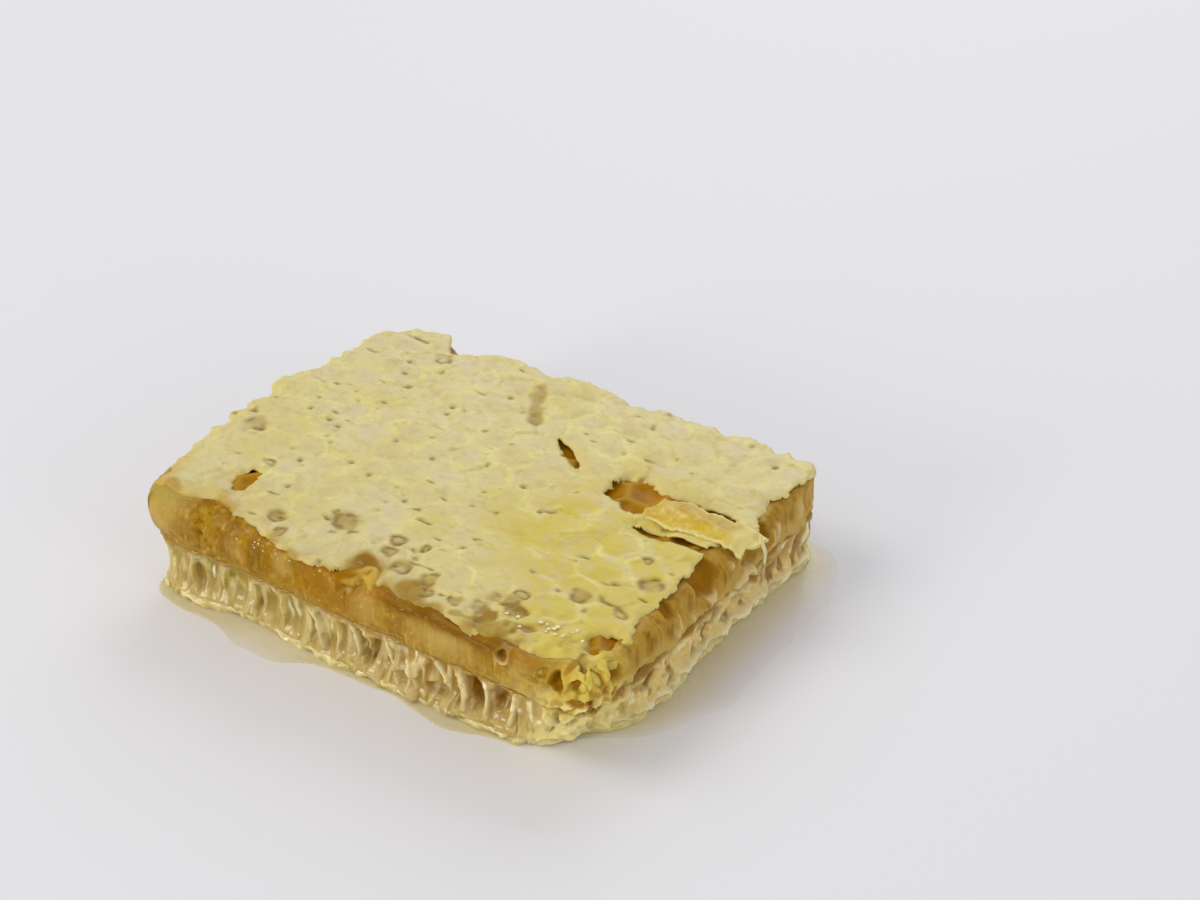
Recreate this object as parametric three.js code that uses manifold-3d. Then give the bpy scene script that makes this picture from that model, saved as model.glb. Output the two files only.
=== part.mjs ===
// A cut block of comb honey, lying flat on its lower capping.
//
// Bees build a comb as one sheet of wax, the midrib, with a tier of six-sided cells standing out
// from each of its faces. Each cell is filled with honey and closed by a thin wax capping. A knife
// has cut this block out of the comb, so the cells along its four sides are cut open: the walls
// between them end in thin upright ribs, and the honey between the ribs has run back into hollows.
// The layers run right through the block, one node each, from the lower capping to the upper one.
//
// Millimetres, +Z up, X along the long side. The origin is under the middle, on the resting face.

import * as THREE from "three";
import { mergeVertices } from "three/addons/utils/BufferGeometryUtils.js";
import Module from "manifold-3d";

const wasm = await Module();
wasm.setup();

// ---- Driving sizes ---------------------------------------------------------------------------

const CELL = 6; // across the flats of one cell
const RIB = 0.9; // a cell wall where the knife has smeared it
const SHORTEST_CUT = 1.6; // a cell nicked for less than this shows no hollow

// The block in plan: its corners, anticlockwise from the front left, each with its radius. The left
// side was cut in two strokes that meet at a blunt corner.
const CORNERS = [
  { x: -40, y: -31.7, radius: 7.5 },
  { x: 39.4, y: -32.2, radius: 5 },
  { x: 39.6, y: 32.6, radius: 4 },
  { x: -35.6, y: 28.9, radius: 5 },
  { x: -40.4, y: 3, radius: 9 },
];

// Where each layer starts, from the floor up. The last one is the mean top of the capping.
const LAYERS = {
  lowerCapping: 0,
  lowerCells: 1.1,
  midrib: 9.4,
  upperCells: 10.1,
  upperCapping: 15.9,
  top: 17.1,
};
const THICK_END = 1.07; // the left end is this much thicker than the mean, the right end thinner
const HALF_LENGTH = 41;
const HALF_WIDTH = 33;

const RIGHT_FLARE = 2.2; // the foot of the right side stands out from its top by this
const LEFT_TUCK = 1.6; // the foot of the left side is tucked in by this
const LOBE = { x: -39, y: -30, reach: 7, depth: 1.1 }; // honey bulging at the front left corner

// Places where the foot of the block is crushed in, and the direction in degrees that it went: the
// front right corner, the middle of the right side, and the front side.
const CRUSHED = [
  { x: 39.5, y: -31, reach: 13, depth: 8.5, turn: 168 },
  { x: 40, y: -4, reach: 13, depth: 1.8, turn: 180 },
  { x: -21, y: -31.8, reach: 10, depth: 1.6, turn: 90 },
];

// How deep the hollow of a cut cell is, in the tier that drained and in the one that stayed full.
const DRAINED = { least: 1.5, most: 3 };
const FULL = { least: 0.3, most: 1.1 };
const EMPTIED = { share: 0.16, depth: 2.4 }; // a few cells of the full tier are torn open

// Places where the edge of the upper capping has torn back from the cut, or stands past it.
const TORN_BACK = [
  { x: -0.9, y: -32, reach: 2.6, depth: 5 },
  { x: 12.5, y: -32, reach: 3.6, depth: 1.8 },
  { x: 24, y: -32, reach: 4.5, depth: 1 },
  { x: 33.4, y: -32, reach: 2.4, depth: 3.2 },
  { x: -27, y: -31.8, reach: 9, depth: 4 },
  { x: -24.6, y: 29.4, reach: 1.9, depth: 3.6 },
  { x: -21.6, y: 29.8, reach: 2.2, depth: 2.8 },
  { x: -36, y: 29, reach: 4, depth: 1.6 },
  { x: 38.5, y: -12, reach: 10, depth: 2.2 },
  { x: 39.5, y: 3, reach: 5.5, depth: 3 },
  { x: 38.8, y: 20, reach: 5, depth: 1.6 },
  { x: -40.4, y: 4, reach: 2.4, depth: -0.8 },
  { x: -39, y: 12, reach: 4, depth: 0.9 },
];

// Holes torn in the upper capping: middle, length, width and direction in degrees.
const HOLES = [
  { x: -28.2, y: -21.4, length: 5.6, width: 2.3, turn: 86 },
  { x: 34.8, y: -22.2, length: 4.4, width: 2.6, turn: 50 },
  { x: 6, y: 12.9, length: 8.6, width: 2, turn: -37 },
  { x: 20.2, y: 9.4, length: 9, width: 8, turn: 0 },
  { x: 28.6, y: 11.6, length: 14, width: 3.4, turn: 0 },
  { x: 32.4, y: 3.4, length: 17, width: 1.5, turn: 4 },
];

// The strip of capping between the last two holes, lifted off and standing past the right side.
const STRIP = { from: [23.8, 7.8], to: [40.2, 9.2], width: 6.2, thickness: 0.8, lift: 1.2 };

const CAPPING_RISE = { least: -0.15, most: 0.55 }; // how far a cell's capping stands up
const SEAM_DROP = 0.25; // how far the seams between the cappings lie below their mean top
const CAPPING_SHOULDER = 0.6; // where a cell's capping bends down, as a share of its half width
const SLIVER = 0.03; // edges that the cuts leave shorter than this are closed up

// ---- Small tools -----------------------------------------------------------------------------

// Seeded random numbers from 0 to 1.
function randomFrom(seed) {
  let state = seed;
  return () => {
    state = (state + 0x6d2b79f5) | 0;
    let mixed = Math.imul(state ^ (state >>> 15), 1 | state);
    mixed = (mixed + Math.imul(mixed ^ (mixed >>> 7), 61 | mixed)) ^ mixed;
    return ((mixed ^ (mixed >>> 14)) >>> 0) / 4294967296;
  };
}

// A number from 0 to 1 that belongs to one cell of one tier.
function chanceOf(column, row, seed) {
  return randomFrom(column * 7919 + row * 104729 + seed * 1299709)();
}

const between = (range, share) => range.least + (range.most - range.least) * share;

// Uneven waves over the plan, from -1 to 1, with the given spacing.
function waves(x, y, spacing, seed) {
  const turn = (2 * Math.PI) / spacing;
  return (
    (Math.sin(turn * (x * 0.83 + y * 0.56) + seed) +
      Math.sin(turn * 1.37 * (y * 0.91 - x * 0.42) + 2.1 * seed) +
      Math.sin(turn * 1.71 * (x * 0.35 + y * 0.37) + 3.7 * seed)) /
    3
  );
}

// How strongly a named place acts at x, y: 1 in its middle, fading out past its reach.
function nearness(place, x, y) {
  return Math.exp(-(((x - place.x) ** 2 + (y - place.y) ** 2) / place.reach ** 2));
}

// The depth that a list of named places gives together at a point.
function depthAt(places, point) {
  return places.reduce((sum, place) => sum + place.depth * nearness(place, point.x, point.y), 0);
}

// The block is thicker at its left end. Every layer takes the same share, so they stay stacked.
function wedge(geometry) {
  const position = geometry.getAttribute("position");
  for (let i = 0; i < position.count; i++) {
    const share = -position.getX(i) / HALF_LENGTH;
    position.setZ(i, position.getZ(i) * (1 + (THICK_END - 1) * share));
  }
  return geometry;
}

function solidFrom(geometry) {
  const bare = geometry.clone();
  bare.deleteAttribute("normal");
  bare.deleteAttribute("uv");
  const merged = mergeVertices(bare, 1e-4);
  return new wasm.Manifold(
    new wasm.Mesh({
      numProp: 3,
      vertProperties: merged.getAttribute("position").array,
      triVerts: new Uint32Array(merged.index.array),
    }),
  );
}

function geometryFrom(solid) {
  const mesh = solid.getMesh();
  return new THREE.BufferGeometry()
    .setAttribute("position", new THREE.BufferAttribute(mesh.vertProperties, 3))
    .setIndex(new THREE.BufferAttribute(mesh.triVerts, 1));
}

// ---- The lattice of cells --------------------------------------------------------------------

const COLUMN = (CELL * Math.sqrt(3)) / 2; // from one column of cells to the next, along X
const SIDE = CELL / Math.sqrt(3); // one side of the six-sided cell

// The two tiers stand back to back, with the middle of a cell over a corner of the other tier's.
const UPPER_SHIFT = 0;
const LOWER_SHIFT = SIDE;

function cellCentre(column, row, shift) {
  return [column * COLUMN + shift, (row + (column & 1) / 2) * CELL];
}

// The column and row of the cell that holds x, y.
function cellAt(x, y, shift) {
  const near = Math.round((x - shift) / COLUMN);
  let best = null;
  for (let column = near - 1; column <= near + 1; column++) {
    const row = Math.round(y / CELL - (column & 1) / 2);
    const [cx, cy] = cellCentre(column, row, shift);
    const distance = Math.hypot(x - cx, y - cy);
    if (!best || distance < best.distance) best = { column, row, distance };
  }
  return best;
}

// ---- The outline of the block ----------------------------------------------------------------

// Points round the block, with the outward direction at each.
function outline(count) {
  const path = new THREE.Path();
  CORNERS.forEach((corner, i) => {
    const before = CORNERS[(i + CORNERS.length - 1) % CORNERS.length];
    const after = CORNERS[(i + 1) % CORNERS.length];
    const point = new THREE.Vector2(corner.x, corner.y);
    const start = new THREE.Vector2(before.x, before.y).sub(point).setLength(corner.radius).add(point);
    const end = new THREE.Vector2(after.x, after.y).sub(point).setLength(corner.radius).add(point);
    if (i === 0) path.moveTo(start.x, start.y);
    else path.lineTo(start.x, start.y);
    path.quadraticCurveTo(point.x, point.y, end.x, end.y);
  });
  path.closePath();
  const points = path.getSpacedPoints(count).slice(0, count);
  return points.map((p, i) => {
    const along = points[(i + 1) % count].clone().sub(points[(i + count - 1) % count]).normalize();
    return { x: p.x, y: p.y, nx: along.y, ny: -along.x };
  });
}

const FINE_STEPS = 2400;
const ACROSS_CELL = [0, 0.24, 0.5, 0.76, 1];

// Points round the block for one tier: five for each cell that the knife cut open, from the rib on
// one side of the cell to the rib on its other side. share runs from 0 to 1 across the cell.
function cutCells(shift) {
  const cuts = [];
  for (const point of outline(FINE_STEPS)) {
    const cell = cellAt(point.x, point.y, shift);
    const last = cuts[cuts.length - 1];
    if (last && last.column === cell.column && last.row === cell.row) last.points.push(point);
    else cuts.push({ column: cell.column, row: cell.row, points: [point] });
  }
  const [first, last] = [cuts[0], cuts[cuts.length - 1]];
  if (first.column === last.column && first.row === last.row) {
    first.points.unshift(...last.points);
    cuts.pop();
  }
  const length = (cut) => {
    const [a, b] = [cut.points[0], cut.points[cut.points.length - 1]];
    return Math.hypot(b.x - a.x, b.y - a.y);
  };
  const shown = cuts.filter((cut) => length(cut) > SHORTEST_CUT);
  return shown.flatMap((cut) => {
    const wide = length(cut);
    const rib = RIB / 2 / wide;
    return ACROSS_CELL.map((share) => {
      const point = cut.points[Math.round((rib + (1 - 2 * rib) * share) * (cut.points.length - 1))];
      return { ...point, share, wide, column: cut.column, row: cut.row };
    });
  });
}

// How far the side stands out from the plain outline at a height, without any cells.
function sideLean(point, height) {
  const up = height / LAYERS.top;
  const right = Math.max(point.nx, 0) ** 2 * (RIGHT_FLARE * (0.5 - up));
  const left = -(Math.max(-point.nx, 0) ** 2) * LEFT_TUCK * Math.max(0, 1 - 2 * up);
  return right + left;
}

// A closed solid from rings of points, the lowest ring first. Its flat ends are fans of triangles
// round a middle point.
function stack(rings) {
  const count = rings[0].length;
  const last = rings.length - 1;
  const positions = [...rings.flat(2), 0, 0, rings[0][0][2], 0, 0, rings[last][0][2]];
  const faces = [];
  for (let level = 0; level + 1 < rings.length; level++) {
    for (let i = 0; i < count; i++) {
      const [a, b] = [level * count + i, level * count + ((i + 1) % count)];
      faces.push(a, b, b + count, a, b + count, a + count);
    }
  }
  const lowMiddle = rings.length * count;
  for (let i = 0; i < count; i++) {
    const next = (i + 1) % count;
    faces.push(lowMiddle, next, i);
    faces.push(lowMiddle + 1, last * count + i, last * count + next);
  }
  return new THREE.BufferGeometry()
    .setAttribute("position", new THREE.Float32BufferAttribute(positions, 3))
    .setIndex(faces);
}

function movedOut(point, distance, height) {
  const moved = new THREE.Vector2(point.x + point.nx * distance, point.y + point.ny * distance);
  const lowness = Math.max(0, 1 - (1.6 * height) / LAYERS.top);
  for (const place of CRUSHED) {
    const push = place.depth * nearness(place, point.x, point.y) * lowness;
    const direction = THREE.MathUtils.degToRad(place.turn);
    moved.add(new THREE.Vector2(Math.cos(direction), Math.sin(direction)).multiplyScalar(push));
  }
  return [moved.x, moved.y, height];
}

// ---- The layers ------------------------------------------------------------------------------

// One tier of cells, with a hollow in its side for each cell that the knife cut open. reach says
// how much of its full depth a hollow has at each height, as a share of the tier's height.
function tier({ bottom, top, shift, depthOf, reach, lobe }) {
  const points = cutCells(shift);
  const rings = reach.map(([share, deep]) => {
    const height = bottom + (top - bottom) * share;
    return points.map((point) => {
      const across = Math.max(0, Math.sin(Math.PI * point.share)) ** 0.7;
      const hollow = Math.min(depthOf(point), point.wide * 0.6) * across * deep;
      const bulge = lobe * LOBE.depth * nearness(LOBE, point.x, point.y) * Math.sin(Math.PI * share);
      const uneven = 0.3 * waves(point.x, point.y, 19, shift + 1) * Math.sin(Math.PI * share);
      return movedOut(point, sideLean(point, height) - hollow + bulge + uneven, height);
    });
  });
  return wedge(stack(rings));
}

function lowerCells() {
  return tier({
    bottom: LAYERS.lowerCells,
    top: LAYERS.midrib,
    shift: LOWER_SHIFT,
    depthOf: (cell) => between(DRAINED, chanceOf(cell.column, cell.row, 1)),
    reach: [[0, 0], [0.1, 0.7], [0.35, 1], [0.7, 0.95], [0.9, 0.55], [1, 0]],
    lobe: 0,
  });
}

function upperCells() {
  return tier({
    bottom: LAYERS.upperCells,
    top: LAYERS.upperCapping,
    shift: UPPER_SHIFT,
    depthOf: (cell) => {
      const chance = chanceOf(cell.column, cell.row, 2);
      return chance < EMPTIED.share ? EMPTIED.depth : between(FULL, chance);
    },
    reach: [[0, 0], [0.14, 0.7], [0.4, 1], [0.75, 0.9], [0.93, 0.5], [1, 0]],
    lobe: 1,
  });
}

// A flat sheet of wax with an uneven edge: the midrib and the lower capping.
function sheet({ bottom, top, count, proud, ragged, seed }) {
  const points = outline(count);
  const rings = [bottom, top].map((height) =>
    points.map((point) => {
      const uneven = waves(point.x, point.y, 7, seed) + 0.6 * waves(point.x, point.y, 3.1, seed + 4);
      return movedOut(point, sideLean(point, height) + proud + ragged * uneven, height);
    }),
  );
  return wedge(stack(rings));
}

function midrib() {
  return sheet({
    bottom: LAYERS.midrib,
    top: LAYERS.upperCells,
    count: 150,
    proud: 0.15,
    ragged: 0.3,
    seed: 3,
  });
}

function lowerCapping() {
  return sheet({
    bottom: LAYERS.lowerCapping,
    top: LAYERS.lowerCells,
    count: 180,
    proud: 0.3,
    ragged: 0.55,
    seed: 8,
  });
}

// The upper capping before it is cut to shape: a sheet that rises over each cell of the upper tier.
// Each cell has a middle point, a ring of six round it, and its six corners, which it shares.
function cappingSheet() {
  const positions = [];
  const faces = [];
  const corners = new Map();
  const edges = new Map();
  const add = (x, y, z) => positions.push(x, y, z) / 3 - 1;
  const corner = (x, y) => {
    const key = `${Math.round(x * 100)},${Math.round(y * 100)}`;
    if (!corners.has(key)) {
      const top = LAYERS.top - SEAM_DROP + 0.2 * waves(x, y, 11, 5);
      corners.set(key, { top: add(x, y, top), foot: add(x, y, LAYERS.upperCapping) });
    }
    return corners.get(key);
  };
  const columns = Math.ceil((HALF_LENGTH + CELL) / COLUMN);
  const rows = Math.ceil((HALF_WIDTH + CELL) / CELL);
  for (let column = -columns; column <= columns; column++) {
    for (let row = -rows; row <= rows; row++) {
      const [cx, cy] = cellCentre(column, row, UPPER_SHIFT);
      const rise = between(CAPPING_RISE, chanceOf(column, row, 6));
      const around = [0, 1, 2, 3, 4, 5].map((k) => (k * Math.PI) / 3);
      const rim = around.map((a) => corner(cx + SIDE * Math.cos(a), cy + SIDE * Math.sin(a)));
      const inner = around.map((a) => {
        const out = CAPPING_SHOULDER * SIDE;
        const [x, y] = [cx + out * Math.cos(a), cy + out * Math.sin(a)];
        return add(x, y, LAYERS.top + 0.8 * rise + 0.12 * waves(x, y, 4.3, 2));
      });
      const middle = add(cx, cy, LAYERS.top + rise);
      const foot = add(cx, cy, LAYERS.upperCapping);
      for (let k = 0; k < 6; k++) {
        const n = (k + 1) % 6;
        faces.push(middle, inner[k], inner[n]);
        faces.push(inner[k], rim[k].top, rim[n].top, inner[k], rim[n].top, inner[n]);
        faces.push(foot, rim[n].foot, rim[k].foot);
        edges.set(`${rim[k].top},${rim[n].top}`, [rim[k], rim[n]]);
      }
    }
  }
  // A side face goes under each edge that only one cell has.
  for (const [a, b] of edges.values()) {
    if (!edges.has(`${b.top},${a.top}`)) faces.push(a.foot, b.foot, b.top, a.foot, b.top, a.top);
  }
  return new THREE.BufferGeometry()
    .setAttribute("position", new THREE.Float32BufferAttribute(positions, 3))
    .setIndex(faces);
}

const CUTTER_BELOW = LAYERS.upperCapping - 1;
const CUTTER_HEIGHT = 4;

function upright(points) {
  const shape = new THREE.Shape(points.map(([x, y]) => new THREE.Vector2(x, y)));
  const geometry = new THREE.ExtrudeGeometry(shape, { depth: CUTTER_HEIGHT, bevelEnabled: false });
  return solidFrom(geometry.translate(0, 0, CUTTER_BELOW));
}

// The ragged outline that the upper capping keeps.
function cappingOutline() {
  return outline(230).map((point) => {
    const torn = depthAt(TORN_BACK, point);
    const ragged = 0.5 * waves(point.x, point.y, 6.5, 1) + 0.45 * waves(point.x, point.y, 2.7, 9);
    const lobe = 0.7 * LOBE.depth * nearness(LOBE, point.x, point.y);
    return movedOut(point, sideLean(point, LAYERS.top) + lobe + 0.2 - torn + ragged, LAYERS.top);
  });
}

// A torn hole: an oval with an uneven edge.
function hole({ x, y, length, width, turn }, index) {
  const sides = 18;
  const direction = THREE.MathUtils.degToRad(turn);
  return Array.from({ length: sides }, (_, k) => {
    const angle = (2 * Math.PI * k) / sides;
    const uneven = 1 + 0.16 * Math.sin(3 * angle + index) + 0.1 * Math.sin(7 * angle + 2 * index);
    const along = (length / 2) * uneven * Math.cos(angle);
    const across = (width / 2) * uneven * Math.sin(angle);
    return [
      x + along * Math.cos(direction) - across * Math.sin(direction),
      y + along * Math.sin(direction) + across * Math.cos(direction),
    ];
  });
}

// The lifted strip: a thin closed band that rises out of the capping and ends past the side.
function strip() {
  const steps = 9;
  const [start, end] = [new THREE.Vector2(...STRIP.from), new THREE.Vector2(...STRIP.to)];
  const along = end.clone().sub(start);
  const across = new THREE.Vector2(-along.y, along.x).normalize();
  const rings = [];
  for (let i = 0; i <= steps; i++) {
    const share = i / steps;
    const middle = start.clone().addScaledVector(along, share);
    const narrow = share > 0.8 ? 1 - 3 * (share - 0.8) : 1;
    const half = (STRIP.width / 2) * narrow * (1 + 0.14 * Math.sin(7 * share));
    const lift = STRIP.lift * Math.sin((Math.PI / 2) * Math.min(1, share * 1.7));
    const low = LAYERS.top - 0.75 + lift;
    const corners = [
      [-half, low + 0.2 * Math.sin(9 * share)],
      [half, low],
      [half, low + STRIP.thickness],
      [-half, low + STRIP.thickness + 0.2 * Math.sin(9 * share)],
    ];
    rings.push(corners.map(([out, z]) => [middle.x + across.x * out, middle.y + across.y * out, z]));
  }
  const positions = rings.flat(2);
  const faces = [0, 2, 1, 0, 3, 2];
  for (let i = 0; i < steps; i++) {
    for (let k = 0; k < 4; k++) {
      const [a, b] = [4 * i + k, 4 * i + ((k + 1) % 4)];
      faces.push(a, b + 4, a + 4, a, b, b + 4);
    }
  }
  const last = 4 * steps;
  faces.push(last, last + 1, last + 2, last, last + 2, last + 3);
  return new THREE.BufferGeometry()
    .setAttribute("position", new THREE.Float32BufferAttribute(positions, 3))
    .setIndex(faces);
}

function upperCapping() {
  const holes = HOLES.map((place, index) => upright(hole(place, index)));
  let capping = solidFrom(cappingSheet()).intersect(upright(cappingOutline()));
  for (const cutter of holes) capping = capping.subtract(cutter);
  return wedge(geometryFrom(capping.add(solidFrom(strip())).simplify(SLIVER)));
}

// ---- The block -------------------------------------------------------------------------------

const cappingWax = new THREE.MeshStandardMaterial({ color: "#ddd09a", roughness: 0.62 });
const midribWax = new THREE.MeshStandardMaterial({ color: "#d8bd77", roughness: 0.5 });
const fullCells = new THREE.MeshStandardMaterial({ color: "#bd8b2e", roughness: 0.22 });
const drainedCells = new THREE.MeshStandardMaterial({ color: "#cdb374", roughness: 0.3 });
const lowerWax = new THREE.MeshStandardMaterial({ color: "#e2d39a", roughness: 0.5 });

const block = new THREE.Group();

for (const [name, geometry, material] of [
  ["lower_capping", lowerCapping(), lowerWax],
  ["lower_cells", lowerCells(), drainedCells],
  ["midrib", midrib(), midribWax],
  ["upper_cells", upperCells(), fullCells],
  ["upper_capping", upperCapping(), cappingWax],
]) {
  const mesh = new THREE.Mesh(geometry, material);
  mesh.name = name;
  block.add(mesh);
}

export default block;
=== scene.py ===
# %% [markdown]
# # A cut block of comb honey
# The block is a slice of comb lying flat: two tiers of six-sided wax cells, back to back on a thin
# midrib, closed above and below by wax cappings. Each layer is modelled as one piece over the solid
# that it stands for, then the torn, wet and crumbly details go on top.

# %% Load the frame
import math

import bpy
import numpy as np
from mathutils import Matrix, Vector, kdtree


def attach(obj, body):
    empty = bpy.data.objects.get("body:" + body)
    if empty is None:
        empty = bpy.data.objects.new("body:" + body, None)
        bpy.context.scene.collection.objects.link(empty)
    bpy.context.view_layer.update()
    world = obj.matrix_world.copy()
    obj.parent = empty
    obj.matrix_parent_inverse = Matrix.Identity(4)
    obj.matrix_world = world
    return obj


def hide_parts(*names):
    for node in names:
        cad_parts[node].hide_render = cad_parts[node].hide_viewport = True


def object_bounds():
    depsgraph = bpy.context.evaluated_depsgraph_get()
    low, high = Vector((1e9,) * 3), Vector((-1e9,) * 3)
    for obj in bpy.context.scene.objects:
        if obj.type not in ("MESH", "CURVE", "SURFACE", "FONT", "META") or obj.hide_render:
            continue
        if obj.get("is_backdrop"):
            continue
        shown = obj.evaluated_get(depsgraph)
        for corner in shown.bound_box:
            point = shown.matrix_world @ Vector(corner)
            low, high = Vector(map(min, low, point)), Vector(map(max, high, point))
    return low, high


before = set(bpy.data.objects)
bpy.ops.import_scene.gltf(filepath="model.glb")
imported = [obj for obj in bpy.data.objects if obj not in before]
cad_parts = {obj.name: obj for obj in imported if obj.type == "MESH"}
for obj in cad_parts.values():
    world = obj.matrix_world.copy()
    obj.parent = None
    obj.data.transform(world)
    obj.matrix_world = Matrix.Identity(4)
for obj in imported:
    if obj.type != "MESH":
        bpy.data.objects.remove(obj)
solid_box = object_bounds()


def in_mm(corner):
    """A corner of a box in millimetres, for printing."""
    return [round(v * 1000, 1) for v in corner]


print("solids from", in_mm(solid_box[0]), "to", in_mm(solid_box[1]), "mm")

# %% [markdown]
# ## Sizes
# Everything is worked out in millimetres and turned into metres when it is put into a mesh. These
# are the same driving sizes as the solids have, so each piece covers its own solid.

# %% Sizes of the block
MM = 0.001
CELL = 6.0                            # across the flats of a cell
COLUMN = CELL * math.sqrt(3) / 2      # from one column of cells to the next
SIDE = CELL / math.sqrt(3)            # one side of a cell
UPPER_SHIFT, LOWER_SHIFT = 0.0, SIDE  # the two tiers' cells stand one side apart
FLOOR, LOWER_FOOT, MIDRIB_FOOT, UPPER_FOOT, CAPPING_FOOT, TOP = 0.0, 1.1, 9.4, 10.1, 15.9, 17.1
THICK_END, HALF_LENGTH = 1.07, 41.0   # the left end is thicker
RIGHT_FLARE, LEFT_TUCK = 2.2, 1.6     # the right side flares out at the foot, the left one tucks in

# %% Corners and wear, as places on the plan
CORNERS = [  # x, y, and how far from the corner its rounding starts
    (-40, -31.7, 7.5), (39.4, -32.2, 5), (39.6, 32.6, 4), (-35.6, 28.9, 5), (-40.4, 3, 9)]
CORNER_POINTS = 40  # in each rounding
LOBE = (-39.0, -30.0, 7.0, 1.1)  # honey bulging at the front left corner: x, y, reach, how proud
CRUSHED = [  # where the foot is pushed in: x, y, reach, how far, and which way in degrees
    (39.5, -31.0, 9.0, 8.5, 168.0), (40.0, 8.0, 30.0, 2.6, 180.0), (-21.0, -31.8, 10.0, 1.6, 90.0)]
TORN_BACK = [  # where the capping is torn back from the edge: x, y, reach, how far
    (-0.9, -32, 2.6, 4.8), (3.6, -32, 1.2, 1.4), (12.5, -32, 3.6, 1.8), (33.4, -32, 2.4, 3.2),
    (-27, -31.8, 9, 4), (-24.6, 29.4, 1.9, 3.6), (-21.6, 29.8, 2.2, 2.8), (-36, 29, 4, 1.6),
    (-30.0, 29, 2.4, -0.9), (38.5, -12, 10, 2.2), (39.5, 3, 5.5, 3.0), (38.8, 20, 5, 1.6),
    (-40.4, 4, 2.4, -0.8), (-39, 12, 4, 0.9), (24, -32, 4.5, 1.0)]


# %% [markdown]
# ## Tools for uneven shapes
# Comb is regular in plan and uneven in everything else. Smooth random noise, always from the same
# seeds, makes the unevenness, and the lattice of cells says where the walls stand.

# %% Smooth random noise
AXIS_PRIMES, SEED_PRIME = (73856093, 19349663, 83492791), 15485863  # they keep neighbours unlike
CELL_PRIMES = (7919, 104729, 1299709)                               # the same as in the solids


def hashed(numbers):
    """Whole numbers scrambled to values from 0 to 1, the same way that the solids' cells are."""
    with np.errstate(over="ignore"):
        state = (np.asarray(numbers, np.int64) & 0xFFFFFFFF).astype(np.uint32) + np.uint32(0x6D2B79F5)
        mixed = (state ^ (state >> np.uint32(15))) * (state | np.uint32(1))
        mixed = (mixed + (mixed ^ (mixed >> np.uint32(7))) * (mixed | np.uint32(61))) ^ mixed
    return (mixed ^ (mixed >> np.uint32(14))) / 4294967296


def chance_of(column, row, seed):
    """A number from 0 to 1 that belongs to one cell of one tier."""
    by_column, by_row, by_seed = CELL_PRIMES
    return hashed(column.astype(np.int64) * by_column + row.astype(np.int64) * by_row + seed * by_seed)


def noise(x, y, z=0.0, size=1.0, seed=0):
    """Smooth random values from -1 to 1 whose lumps are about `size` millimetres across."""
    x, y, z = (np.asarray(v, float) / size for v in np.broadcast_arrays(x, y, z))
    corner = [np.floor(v).astype(np.int64) for v in (x, y, z)]
    inside = [v - c for v, c in zip((x, y, z), corner)]
    fade = [f * f * (3 - 2 * f) for f in inside]
    total = 0
    for ahead in np.ndindex(2, 2, 2):  # the eight corners of the box round each place
        number = sum((c + a) * prime for c, a, prime in zip(corner, ahead, AXIS_PRIMES)) + seed * SEED_PRIME
        weight = math.prod(f if a else 1 - f for f, a in zip(fade, ahead))
        total = total + hashed(number) * weight
    return 2 * total - 1


def waves(x, y, spacing, seed):
    """Uneven waves over the plan, from -1 to 1: three plain ones that run different ways."""
    total, turn = 0, 2 * math.pi / spacing
    for pace, in_x, in_y, begin in ((1, 0.83, 0.56, 1), (1.37, -0.42, 0.91, 2.1), (1.71, 0.35, 0.37, 3.7)):
        total = total + np.sin(turn * pace * (x * in_x + y * in_y) + begin * seed)
    return total / 3


# %% Soft steps and places
def ramp(value, low, high):
    """0 below low, 1 above high, and a smooth rise between."""
    share = np.clip((value - low) / (high - low), 0, 1)
    return share * share * (3 - 2 * share)


def near(x, y, px, py, reach):
    """1 at the place px, py, fading out past its reach."""
    return np.exp(-((x - px) ** 2 + (y - py) ** 2) / reach ** 2)


# %% The lattice of cells
def cell_at(x, y, shift):
    """The cell under x, y: its column, row, middle, and how far x, y is from the nearest wall."""
    close = np.round((x - shift) / COLUMN)
    found = []
    for step in (-1, 0, 1):
        column = close + step
        odd = np.mod(column, 2) / 2
        for side in (-1, 0, 1):
            row = np.round(y / CELL - odd) + side
            cx, cy = column * COLUMN + shift, (row + odd) * CELL
            found.append((np.hypot(x - cx, y - cy), column, row, cx, cy))
    every = [np.stack(values) for values in zip(*found)]
    order = np.argsort(every[0], axis=0)
    pick = lambda item, rank: np.take_along_axis(every[item], order[rank:rank + 1], 0)[0]
    first, second = pick(0, 0), pick(0, 1)
    wall = (second ** 2 - first ** 2) / (2 * CELL)
    return *(pick(item, 0) for item in (1, 2, 3, 4)), wall


# %% The outline of the block
def outline(count):
    """Evenly spaced points round the block, with the outward direction at each."""
    path = []
    for i, (x, y, radius) in enumerate(CORNERS):
        corner = Vector((x, y))
        before, after = Vector(CORNERS[i - 1][:2]), Vector(CORNERS[(i + 1) % len(CORNERS)][:2])
        start = corner + (before - corner).normalized() * radius
        end = corner + (after - corner).normalized() * radius
        for t in np.linspace(0, 1, CORNER_POINTS):
            path.append(start * (1 - t) ** 2 + corner * 2 * t * (1 - t) + end * t * t)
    path = np.array([tuple(p) for p in path + path[:1]])
    along = np.concatenate([[0], np.cumsum(np.hypot(*np.diff(path, axis=0).T))])
    at = np.arange(count) * along[-1] / count
    x, y = np.interp(at, along, path[:, 0]), np.interp(at, along, path[:, 1])
    tx, ty = np.roll(x, -2) - np.roll(x, 2), np.roll(y, -2) - np.roll(y, 2)
    length = np.hypot(tx, ty)
    return x, y, ty / length, -tx / length, along[-1] / count


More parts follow.
